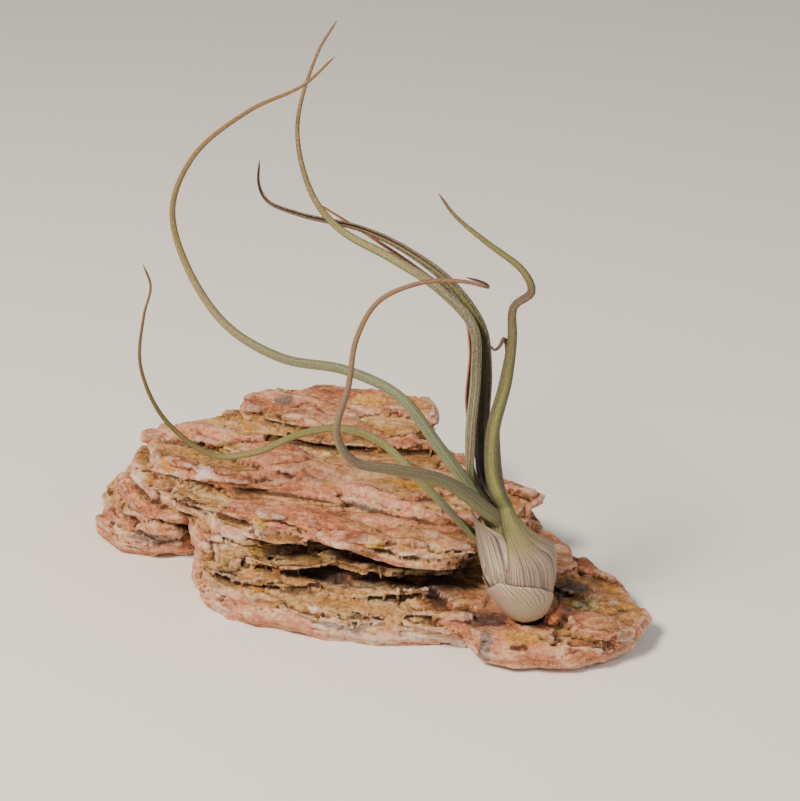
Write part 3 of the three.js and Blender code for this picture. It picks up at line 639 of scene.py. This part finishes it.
# The old outer sheath: a papery cup round the foot of the bulb. rim is its height up the bulb's axis at
# azimuths round it.
oldSheath = {
    "azimuth": -25, "foot": 1.5, "wrap": 118, "tight": 0.2, "across": 91, "up": 17,
    "rag": 0.35, "buckle": 0.2, "wall": (0.6, 0.2), "runHeight": 25,
    "rim": [(-143, 6), (-100, 15), (-55, 22), (-28, 27), (8, 23.6), (29, 20.4), (45, 16.6), (93, 6)],
}


def makeOldSheath():
    rows = oldSheath["up"]

    def place(part, row):
        azimuth = oldSheath["azimuth"] + (2 * part - 1) * oldSheath["wrap"]
        rim = float(np.mean([np.interp(azimuth + step, *zip(*oldSheath["rim"])) for step in (-6, -2, 2, 6)]))
        rim += oldSheath["rag"] * noise.noise(Vector((part * 22, 3, 1)))
        height = mix(oldSheath["foot"], rim, row / (rows - 1))
        radius = sheathRadius(height, 0, oldSheath["foot"]) - oldSheath["tight"]
        radius += oldSheath["buckle"] * noise.noise(Vector((part * 9, height * 0.1, 5)))
        wall = mix(*oldSheath["wall"], row / (rows - 1))
        return onAxis(height) + outwards(azimuth) * radius, wall, height / oldSheath["runHeight"]

    cup = shapeGrid("oldSheath", oldSheath["across"], rows, place)
    turnOutwards(cup, onAxis(10))
    thicken(cup)
    cup.data.materials.append(oldSheathSkin())
    finishPiece(cup, "base_sheath")


def oldSheathSkin():
    # Dried sheath: a pale greenish-tan paper, pink towards the left and tan at its foot, with purple-brown
    # veins 1.1 mm apart that slant down to the right.
    skin = newMaterial("paperySheath")
    uv = addNode(skin, "ShaderNodeUVMap", {"uv_map": "UVMap"})
    place = addNode(skin, "ShaderNodeTexCoord")
    parts = addNode(skin, "ShaderNodeSeparateXYZ", links={0: uv.outputs[0]})
    slanted = addNode(
        skin, "ShaderNodeMapping", values={"Rotation": (0, 0, -0.42), "Scale": (60, 25, 1)},
        links={0: uv.outputs[0]},
    )
    veins = addNode(
        skin, "ShaderNodeTexWave", {"wave_type": "BANDS", "bands_direction": "X"},
        {"Scale": 0.19, "Distortion": 9, "Detail": 3, "Detail Scale": 0.5}, {0: slanted.outputs[0]},
    )
    veinMask = addNode(
        skin, "ShaderNodeValToRGB", links={0: veins.outputs["Fac"]}, stops=[(0.62, 0.0), (0.97, 1.0)],
    )
    patches = addNode(
        skin, "ShaderNodeTexNoise", values={"Scale": 130, "Detail": 4}, links={0: place.outputs["Object"]},
    )
    fade = addNode(
        skin, "ShaderNodeValToRGB", links={0: patches.outputs[0]}, stops=[(0.35, 0.15), (0.6, 0.7)],
    )
    veinPart = addNode(
        skin, "ShaderNodeMath", {"operation": "MULTIPLY"}, links={0: veinMask.outputs[0], 1: fade.outputs[0]},
    )
    body = addNode(
        skin, "ShaderNodeValToRGB", links={0: patches.outputs[0]},
        stops=[(0.3, "#a58f76"), (0.5, "#b3a186"), (0.7, "#b5a78d")],
    )
    leftSide = addNode(
        skin, "ShaderNodeValToRGB", links={0: parts.outputs["X"]}, stops=[(0.36, 0.6), (0.52, 0.0)],
    )
    pinker = addNode(
        skin, "ShaderNodeMix", {"data_type": "RGBA"}, {7: linear("#ab8578")},
        {0: leftSide.outputs[0], 6: body.outputs[0]},
    )
    lowest = addNode(
        skin, "ShaderNodeValToRGB", links={0: parts.outputs["Y"]}, stops=[(0.1, 0.7), (0.36, 0.0)],
    )
    tanned = addNode(
        skin, "ShaderNodeMix", {"data_type": "RGBA"}, {7: linear("#b08a5e")},
        {0: lowest.outputs[0], 6: pinker.outputs[2]},
    )
    veined = addNode(
        skin, "ShaderNodeMix", {"data_type": "RGBA"}, {7: linear("#5f444a")},
        {0: veinPart.outputs[0], 6: tanned.outputs[2]},
    )
    return coverWith(skin, veined.outputs[2], veins.outputs["Fac"], 0.5, 0.15 * mm, 0.55, 1.45, invert=True)


# Dry scraps at the foot of the bulb: [middle, half the width, half the thickness] along each. A level, in mm
# over the floor, where given, is where one turns nearly black: painted shade where the dead root lies in the
# bulb's shadow.
noShade = (60, 61)  # over the top of any dry piece that is seen
scraps = {
    "dryScale": {
        "node": "dry_scale", "lumps": 0.15,
        "sections": [
            ((36.4, -51, 26), 1.6, 0.4), ((32.6, -51.4, 28.6), 2.2, 0.4), ((29.6, -51, 33.6), 0.5, 0.35),
        ],
        "colours": ["#6b4a44", "#a58a7c"],
    },
    "deadRoot": {
        "node": "root_stub", "lumps": 0.4,
        "sections": [
            ((58.4, -45.2, 22.2), 0.8, 0.8), ((58.8, -46.6, 20.8), 1.4, 1.4), ((58.6, -48.6, 18.8), 0.8, 0.8),
            ((57.4, -51.2, 16.8), 2.2, 2.1), ((55.8, -53.4, 15.4), 2.6, 2.4), ((54.2, -55, 14.4), 1.6, 1.4),
        ],
        "colours": ["#7a4224", "#b4683c"], "shadedAbove": (18.6, 20.4),
    },
}


def makeScrap(name, scrap):
    bpy.ops.object.select_all(action="DESELECT")
    bpy.ops.mesh.primitive_uv_sphere_add(segments=20, ring_count=20, radius=1)
    piece = bpy.context.object
    piece.name = name
    points = [Vector(point) for point, _, _ in scrap["sections"]]
    for vertex in piece.data.vertices:
        part = math.acos(min(max(vertex.co.z, -1), 1)) / math.pi
        place = part * (len(points) - 1)
        centre = curvePoint(points, place)
        ahead = curvePoint(points, min(place + 0.1, len(points) - 1))
        behind = curvePoint(points, max(place - 0.1, 0))
        tangent = (ahead - behind).normalized()
        side = Vector((0, 1, 0)).cross(tangent).normalized()
        across = tangent.cross(side)
        k = min(int(place), len(points) - 2)
        wide = mix(scrap["sections"][k][1], scrap["sections"][k + 1][1], place - k)
        thick = mix(scrap["sections"][k][2], scrap["sections"][k + 1][2], place - k)
        blunt = min(1, math.sin(part * math.pi) * 2.2)
        turn = math.atan2(vertex.co.y, vertex.co.x)
        uneven = noise.noise(centre * 0.7 + side * math.sin(turn) * 2 + across * math.cos(turn))
        lump = 1 + scrap["lumps"] * (uneven - 0.3)
        offset = across * (wide * math.cos(turn)) + side * (thick * math.sin(turn))
        vertex.co = inFrame(centre + offset * blunt * lump)
    selectOnly(piece)
    bpy.ops.object.mode_set(mode="EDIT")
    bpy.ops.mesh.select_all(action="SELECT")
    bpy.ops.mesh.normals_make_consistent(inside=False)
    bpy.ops.object.mode_set(mode="OBJECT")
    bpy.ops.object.shade_smooth()
    piece.data.materials.append(dryTissue(name + "Tissue", scrap["colours"], scrap.get("shadedAbove", noShade)))
    finishPiece(piece, scrap["node"])


def dryTissue(name, colours, shadedAbove):
    # Dead, dried plant tissue: brittle and brown, with a slight gloss where it has worn smooth, and nearly
    # black above the given level, as painted shade.
    skin = newMaterial(name)
    place = addNode(skin, "ShaderNodeTexCoord")
    flecks = addNode(
        skin, "ShaderNodeTexNoise", values={"Scale": 700, "Detail": 5}, links={0: place.outputs["Object"]},
    )
    body = addNode(
        skin, "ShaderNodeValToRGB", links={0: flecks.outputs[0]},
        stops=[(0.36, colours[0]), (0.62, colours[1])],
    )
    parts = addNode(skin, "ShaderNodeSeparateXYZ", links={0: place.outputs["Object"]})
    # Nearly black above the level: painted shade.
    above = addNode(
        skin, "ShaderNodeMapRange", values={"From Min": shadedAbove[0] * mm, "From Max": shadedAbove[1] * mm},
        links={0: parts.outputs["Z"]},
    )
    shadedTop = addNode(
        skin, "ShaderNodeMix", {"data_type": "RGBA"}, {7: linear("#3a2a22")},
        {0: above.outputs[0], 6: body.outputs[0]},
    )
    return coverWith(skin, shadedTop.outputs[2], flecks.outputs[0], 0.5, 0.3 * mm, 0.45, 1.45)


# The stone: the solid's own shape, broken into thin planks along the grain and flaked all over. Its layers
# rise by dip along the grain, and shake and fray say how coarsely a plank's or flake's edge wavers.
stone = {
    "grainTurn": -14, "coarse": 1.0, "fine": 0.7, "triangles": 196000,
    "dip": 0.06, "shake": 17, "fray": 4.5, "crackHalf": 0.12, "swellSize": 14, "gritSize": 1.1,
    "planks": {"size": (66, 15, 8.5), "proud": 1.7, "deep": 2.3, "crack": 1.1, "warp": 4.5, "fray": 0.14},
    "flakes": {"size": (21, 7.5, 4), "proud": 0.45, "deep": 0.7, "crack": 0.25, "warp": 1.8, "fray": 0.3},
    "grit": 0.16, "swell": 0.9, "footFacing": (0.3, 0.7), "footTop": (4, 12), "footCalm": 0.7,
    "hollowClear": 0.5, "hollowHeights": (-2, 40), "shelterReach": 24, "shelterRays": 12, "melt": (0.8, 14),
    "cleanBreak": [
        (0.42, "#8c4c30"), (0.56, "#bd7550"), (0.66, "#d8946e"), (0.76, "#eab08e"), (0.86, "#f4ceb2"),
        (1, "#fbecdc"),
    ],
    # Weathered stone's colours, which also stand as painted shade where the stone shelters the surface.
    "weathered": [
        (0.42, "#4a2a16"), (0.56, "#7a4e2a"), (0.66, "#9e6c3c"), (0.76, "#be8a52"), (0.86, "#d6a76e"),
        (1, "#e8cb9a"),
    ],
    "ochre": "#c48a2c",
    # Painted light: painted shade makes the recess and the clefts dark, and a painted highlight makes convex
    # edges pale: [mark, its stops, colour].
    "paintedLight": [
        ("sheltered", [(0.4, 0.0), (0.8, 0.7)], "#2e1c13"), ("hollow", [(0.56, 0.0), (0.8, 0.8)], "#38211a"),
        ("hollow", [(0.14, 0.45), (0.36, 0.0)], "#f3dfcd"),
    ],
    # Patches of other minerals: [middle, size along the grain, size across it, colour], in mm. They reach
    # spread times their size, and patchEdge further across the grain.
    "spread": 0.6, "patchEdge": 1.5,
    "patches": [
        ((-10, -37, 37), 9, 5, "#d9a63f"), ((-52, -20, 24), 12, 5, "#c9963f"),
        ((-31, -23, 24), 15, 7, "#c79c48"), ((-19, -33, 18), 5, 4, "#e2bd6c"),
        ((-33, -43, 15), 6, 5, "#efe2d2"), ((31, -61, 9), 6, 14, "#6f6864"),
        ((69, -38, 13), 12, 4, "#ddc78f"), ((46, -61, 12), 21, 5, "#c48a3e"),
        ((32, -50, 13), 18, 6, "#3a2b30"), ((50, -53, 13), 16, 3, "#7d3423"),
        ((66, -31, 15), 14, 4, "#4d453f"), ((-98, 8, 10), 24, 8, "#6c4a42"),
        ((-46, 42, 55), 9, 5, "#75665d"), ((-10, 42, 54), 18, 6, "#d3a44c"),
        ((-75, 2, 46), 9, 5, "#efd2ca"), ((-90, 9, 45), 9, 5, "#c8872f"),
        ((-98, 14, 37), 7, 6, "#c78a3a"), ((-52, -21, 37), 9, 5, "#cda04a"),
        ((-66, -28, 19), 15, 10, "#80603c"), ((-28, -23, 16), 22, 6, "#5d4c4c"),
        ((14, -34, 16), 24, 9, "#7c5238"), ((-68, 17, 47), 13, 6, "#cda155"),
        ((20, -22, 30), 20, 8, "#5b3a30"),
    ],
}


def alongGrain(point):  # the grain's own coordinates, in mm: along it, across it, up
    turn = math.radians(stone["grainTurn"])
    x, y, z = point / mm
    return Vector((x * math.cos(turn) + y * math.sin(turn), y * math.cos(turn) - x * math.sin(turn), z))


def splitAt(point, split):
    # The stone's splitting: which long cell a point is in, as a number from 0 to 1, and how near its edge.
    along, across, up = alongGrain(point)
    place = Vector((along, across, up + stone["dip"] * along))
    shake = noise.noise_vector(place / stone["shake"] + Vector((split["warp"], 3, 8))) * split["warp"]
    fray = noise.noise_vector(place / stone["fray"]) * split["warp"] * split["fray"]
    place += Vector((shake.x * 2 + fray.x * 2, shake.y + fray.y, shake.z * 0.6 + fray.z * 0.6))
    cell = Vector([place[k] / split["size"][k] for k in range(3)])
    near, points = noise.voronoi(cell)
    share = min(max(0.5 + 0.5 * noise.cell(points[0] * 9.7), 0), 1)
    return share, near[1] - near[0]


def splitDepth(point, split):
    share, edge = splitAt(point, split)
    crack = (1 - smooth(edge, 0, stone["crackHalf"])) * split["crack"]
    return mix(-split["proud"], split["deep"], share ** 1.5) + crack


def plankDepth(point, normal):  # the foot's front face is one smooth break
    calm = smooth(-normal.y, *stone["footFacing"]) * (1 - smooth(point.z / mm, *stone["footTop"]))
    swell = noise.noise(alongGrain(point) / stone["swellSize"]) * stone["swell"]
    return splitDepth(point, stone["planks"]) * (1 - stone["footCalm"] * calm) + swell


def flakeDepth(point, normal):
    grit = noise.noise(alongGrain(point) / stone["gritSize"])
    return splitDepth(point, stone["flakes"]) + stone["grit"] * grit


patchPlaces = [
    (
        alongGrain(inFrame(at)), linear(colour),
        (length * stone["spread"], width * stone["spread"] + stone["patchEdge"]),
    )
    for at, length, width, colour in stone["patches"]
]


def stainAt(point):  # the patch of mineral at a point, with how far inside the patch it is as its alpha
    best = [0.5, 0.5, 0.5, 0]
    here = alongGrain(point)
    for centre, colour, sizes in patchPlaces:
        off = here - centre
        inside = 1 - math.sqrt((off.x / sizes[0]) ** 2 + (off.y / sizes[1]) ** 2 + (off.z / sizes[1]) ** 2)
        if inside > best[3]:
            best = colour[:3] + [inside]
    return best


def pressIn(piece, depthAt):
    mesh = piece.data
    places = [vertex.co.copy() for vertex in mesh.vertices]
    normals = [vertex.normal.copy() for vertex in mesh.vertices]
    for vertex, place, normal in zip(mesh.vertices, places, normals):
        vertex.co = place - normal * depthAt(place, normal) * mm
    mesh.update()


def remesh(piece, voxel):
    selectOnly(piece)
    piece.data.remesh_voxel_size = voxel * mm
    bpy.ops.object.voxel_remesh()


def keepInside(piece):  # the box, the floor and the hollow that the bulb sits in
    low, high = cadBounds
    foot, axis = inFrame(bulb["foot"]), bulbAxis
    lowest, highest = stone["hollowHeights"]
    for vertex in piece.data.vertices:
        place = vertex.co
        place.x = min(max(place.x, low.x), high.x)
        place.y = min(max(place.y, low.y), high.y)
        place.z = max(place.z, 0)
        height = (place - foot).dot(axis) / mm
        if lowest < height < highest:
            off = place - foot - axis * height * mm
            least = (outline(max(height, 0)) + stone["hollowClear"]) * mm
            if off.length < least:
                vertex.co = place + off.normalized() * (least - off.length)
    piece.data.update()


def keepMark(mesh, name, values):
    mesh.attributes.new(name, "FLOAT", "POINT").data.foreach_set("value", values)


def shelter(piece, normals):  # the share of the space round each point that the stone itself fills
    count = stone["shelterRays"]
    rays = []
    for k in range(count):
        rise = 1 - (2 * k + 1) / count
        turn = k * math.pi * (3 - math.sqrt(5))
        flat = math.sqrt(1 - rise * rise)
        rays.append(Vector((flat * math.cos(turn), flat * math.sin(turn), rise)))
    tree = BVHTree.FromObject(piece, bpy.context.evaluated_depsgraph_get())
    shares = []
    for vertex, facing in zip(piece.data.vertices, normals):
        facing = Vector(facing)
        start = vertex.co + facing * mm
        reach = stone["shelterReach"] * mm
        blocked = sum(
            tree.ray_cast(start, (facing * 1.02 + ray).normalized(), reach)[0] is not None for ray in rays
        )
        shares.append(blocked / count)
    return shares


def markStone(piece):
    # Stores what the material needs at each point: how hollow the surface is (0.5 is even), how level it is,
    # how sheltered it is, which plank and flake it is in, and its patch of mineral.
    mesh = piece.data
    shape = np.zeros(len(mesh.vertices) * 3)
    mesh.vertices.foreach_get("co", shape)
    selectOnly(piece)
    bpy.ops.object.duplicate()
    melted = bpy.context.object
    bpy.ops.object.modifier_add(type="SMOOTH")
    melting = melted.modifiers[-1]
    melting.factor, melting.iterations = stone["melt"]
    bpy.ops.object.modifier_apply(modifier=melting.name)
    worn = np.zeros(len(shape))
    melted.data.vertices.foreach_get("co", worn)
    facing = np.zeros(len(shape))
    melted.data.vertices.foreach_get("normal", facing)
    bpy.data.objects.remove(melted)
    facing = facing.reshape(-1, 3)
    depth = ((worn - shape).reshape(-1, 3) * facing).sum(1) / mm
    places = [Vector(place) for place in shape.reshape(-1, 3)]
    keepMark(mesh, "hollow", np.clip(0.5 + depth * 0.5, 0, 1))
    keepMark(mesh, "level", facing[:, 2])
    keepMark(mesh, "sheltered", shelter(piece, facing))
    for name, split in (("plank", stone["planks"]), ("flake", stone["flakes"])):
        keepMark(mesh, name, [splitAt(place, split)[0] for place in places])
    stains = np.array([stainAt(place) for place in places])
    mesh.attributes.new("stain", "FLOAT_COLOR", "POINT").data.foreach_set("color", stains.ravel())


def makeStone():
    bpy.ops.object.select_all(action="DESELECT")
    rough = bpy.data.objects.new("layeredStone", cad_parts["stone"].data.copy())
    bpy.context.collection.objects.link(rough)
    rough.data.materials.clear()
    selectOnly(rough)
    bpy.ops.object.mode_set(mode="EDIT")
    bpy.ops.mesh.select_all(action="SELECT")
    bpy.ops.mesh.remove_doubles(threshold=0.001 * mm)
    bpy.ops.object.mode_set(mode="OBJECT")
    remesh(rough, stone["coarse"])
    pressIn(rough, plankDepth)
    remesh(rough, stone["fine"])
    pressIn(rough, flakeDepth)
    keepInside(rough)
    print("stone carved,", len(rough.data.polygons), "faces")
    bpy.ops.object.modifier_add(type="DECIMATE")
    thin = rough.modifiers[-1]
    thin.ratio = min(1, stone["triangles"] / (2 * len(rough.data.polygons)))
    bpy.ops.object.modifier_apply(modifier=thin.name)
    bpy.ops.object.shade_smooth()
    markStone(rough)
    rough.data.materials.append(ironStainedStone())
    finishPiece(rough, "stone")


def ironStainedStone():
    # Stone that split along its grain, stained by iron: salmon and cream on clean breaks, ochre and brown
    # where it weathered and, as painted shade, where the stone shelters it; darkest in the clefts and the
    # recess as painted shade, and pale on convex edges as a painted highlight. Matt, with a fine grit and
    # patches about 30 mm long.
    rock = newMaterial("ironStainedStone")
    place = addNode(rock, "ShaderNodeTexCoord")
    marks = {
        name: addNode(rock, "ShaderNodeAttribute", {"attribute_name": name})
        for name in ("hollow", "level", "sheltered", "plank", "flake", "stain")
    }
    turned = addNode(
        rock, "ShaderNodeMapping", values={"Rotation": (0, 0, math.radians(-stone["grainTurn"]))},
        links={0: place.outputs["Object"]},
    )
    patches = addNode(
        rock, "ShaderNodeMapping", values={"Scale": (30, 85, 120)}, links={0: turned.outputs[0]},
    )
    cloud = addNode(
        rock, "ShaderNodeTexNoise", values={"Scale": 1, "Detail": 8, "Roughness": 0.68, "Distortion": 0.5},
        links={0: patches.outputs[0]},
    )
    elsewhere = addNode(
        rock, "ShaderNodeMapping", values={"Location": (7, 3, 5), "Scale": (44, 110, 150)},
        links={0: turned.outputs[0]},
    )
    iron = addNode(
        rock, "ShaderNodeTexNoise", values={"Scale": 1, "Detail": 8, "Roughness": 0.7, "Distortion": 0.7},
        links={0: elsewhere.outputs[0]},
    )
    grains = addNode(
        rock, "ShaderNodeTexNoise", values={"Scale": 620, "Detail": 7, "Roughness": 0.8},
        links={0: place.outputs["Object"]},
    )
    mottle = addNode(
        rock, "ShaderNodeTexNoise", values={"Scale": 240, "Detail": 6, "Roughness": 0.72, "Distortion": 0.4},
        links={0: turned.outputs[0]},
    )
    byPlank = addNode(
        rock, "ShaderNodeMath", {"operation": "MULTIPLY_ADD"}, {1: 0.3},
        {0: marks["plank"].outputs["Fac"], 2: cloud.outputs[0]},
    )
    tone = addNode(
        rock, "ShaderNodeMath", {"operation": "MULTIPLY_ADD"}, {1: 0.14},
        {0: marks["flake"].outputs["Fac"], 2: byPlank.outputs[0]},
    )
    clean = addNode(rock, "ShaderNodeValToRGB", links={0: tone.outputs[0]}, stops=stone["cleanBreak"])
    weathered = addNode(rock, "ShaderNodeValToRGB", links={0: tone.outputs[0]}, stops=stone["weathered"])
    ironPart = addNode(rock, "ShaderNodeMath", {"operation": "MULTIPLY"}, {1: 0.3}, {0: iron.outputs[0]})
    topIron = addNode(
        rock, "ShaderNodeMath", {"operation": "MULTIPLY_ADD"}, {1: 0.18},
        {0: marks["level"].outputs["Fac"], 2: ironPart.outputs[0]},
    )
    # Weathered colours where the planks, the iron and level tops say, and, as painted shade, where the stone
    # shelters the surface.
    shaded = addNode(
        rock, "ShaderNodeMath", {"operation": "MULTIPLY_ADD"}, {1: 0.4},
        {0: marks["sheltered"].outputs["Fac"], 2: topIron.outputs[0]},
    )
    weatheringAndShade = addNode(
        rock, "ShaderNodeMath", {"operation": "MULTIPLY_ADD"}, {1: 0.3},
        {0: marks["plank"].outputs["Fac"], 2: shaded.outputs[0]},
    )
    weatheredAndShadePart = addNode(
        rock, "ShaderNodeValToRGB", links={0: weatheringAndShade.outputs[0]}, stops=[(0.405, 0.0), (0.505, 1.0)],
    )
    body = addNode(
        rock, "ShaderNodeMix", {"data_type": "RGBA"},
        links={0: weatheredAndShadePart.outputs[0], 6: clean.outputs[0], 7: weathered.outputs[0]},
    )
    ironRich = addNode(
        rock, "ShaderNodeValToRGB", links={0: iron.outputs[0]}, stops=[(0.58, 0.0), (0.63, 0.9)],
    )
    isOchre = addNode(
        rock, "ShaderNodeMath", {"operation": "MULTIPLY"},
        links={0: ironRich.outputs[0], 1: weatheredAndShadePart.outputs[0]},
    )
    ochre = addNode(
        rock, "ShaderNodeMix", {"data_type": "RGBA"}, {7: linear(stone["ochre"])},
        {0: isOchre.outputs[0], 6: body.outputs[2]},
    )
    within = addNode(
        rock, "ShaderNodeMath", {"operation": "MULTIPLY"}, {1: 0.5}, {0: marks["stain"].outputs["Alpha"]},
    )
    ragged = addNode(
        rock, "ShaderNodeMath", {"operation": "MULTIPLY_ADD"}, {1: 1.2},
        {0: mottle.outputs[0], 2: within.outputs[0]},
    )
    isStain = addNode(
        rock, "ShaderNodeValToRGB", links={0: ragged.outputs[0]}, stops=[(0.66, 0.0), (0.8, 0.85)],
    )
    anyStain = addNode(
        rock, "ShaderNodeMath", {"operation": "GREATER_THAN"}, {1: 0.02},
        {0: marks["stain"].outputs["Alpha"]},
    )
    inStain = addNode(
        rock, "ShaderNodeMath", {"operation": "MULTIPLY"},
        links={0: isStain.outputs[0], 1: anyStain.outputs[0]},
    )
    stained = addNode(
        rock, "ShaderNodeMix", {"data_type": "RGBA"},
        links={0: inStain.outputs[0], 6: ochre.outputs[2], 7: marks["stain"].outputs["Color"]},
    )
    mottleTone = addNode(
        rock, "ShaderNodeValToRGB", links={0: mottle.outputs[0]},
        stops=[(0.34, 0.1), (0.5, 0.5), (0.66, 0.9)],
    )
    mottled = addNode(
        rock, "ShaderNodeMix", {"data_type": "RGBA", "blend_type": "OVERLAY"}, {0: 0.5},
        {6: stained.outputs[2], 7: mottleTone.outputs[0]},
    )
    # Painted shade in sheltered places and clefts, and a painted highlight on convex edges.
    withPaintedLight = mottled
    for mark, stops, colour in stone["paintedLight"]:
        share = addNode(rock, "ShaderNodeValToRGB", links={0: marks[mark].outputs["Fac"]}, stops=stops)
        withPaintedLight = addNode(
            rock, "ShaderNodeMix", {"data_type": "RGBA"}, {7: linear(colour)},
            {0: share.outputs[0], 6: withPaintedLight.outputs[2]},
        )
    grainTone = addNode(
        rock, "ShaderNodeValToRGB", links={0: grains.outputs[0]},
        stops=[(0.3, 0.05), (0.5, 0.5), (0.7, 0.92)],
    )
    gritty = addNode(
        rock, "ShaderNodeMix", {"data_type": "RGBA", "blend_type": "OVERLAY"}, {0: 0.8},
        {6: withPaintedLight.outputs[2], 7: grainTone.outputs[0]},
    )
    rough = addNode(
        rock, "ShaderNodeMath", {"operation": "MULTIPLY_ADD"}, {1: 2},
        {0: mottle.outputs[0], 2: grains.outputs[0]},
    )
    return coverWith(rock, gritty.outputs[2], rough.outputs[0], 1, 1.1 * mm, 0.82, 1.5)


def dressStem():  # hidden in the bulb
    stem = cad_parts["stem"]
    stem.data.materials.clear()
    stem.data.materials.append(dryTissue("woodyStem", ["#4f4a2c", "#8a7f55"], noShade))


placeCamera()
dressStudio()
makeStone()
for order, (name, leaf) in enumerate(leaves.items()):
    makeLeaf(name, leaf, order)
makeOldSheath()
for name, scrap in scraps.items():
    makeScrap(name, scrap)
dressStem()
print("plant ready")
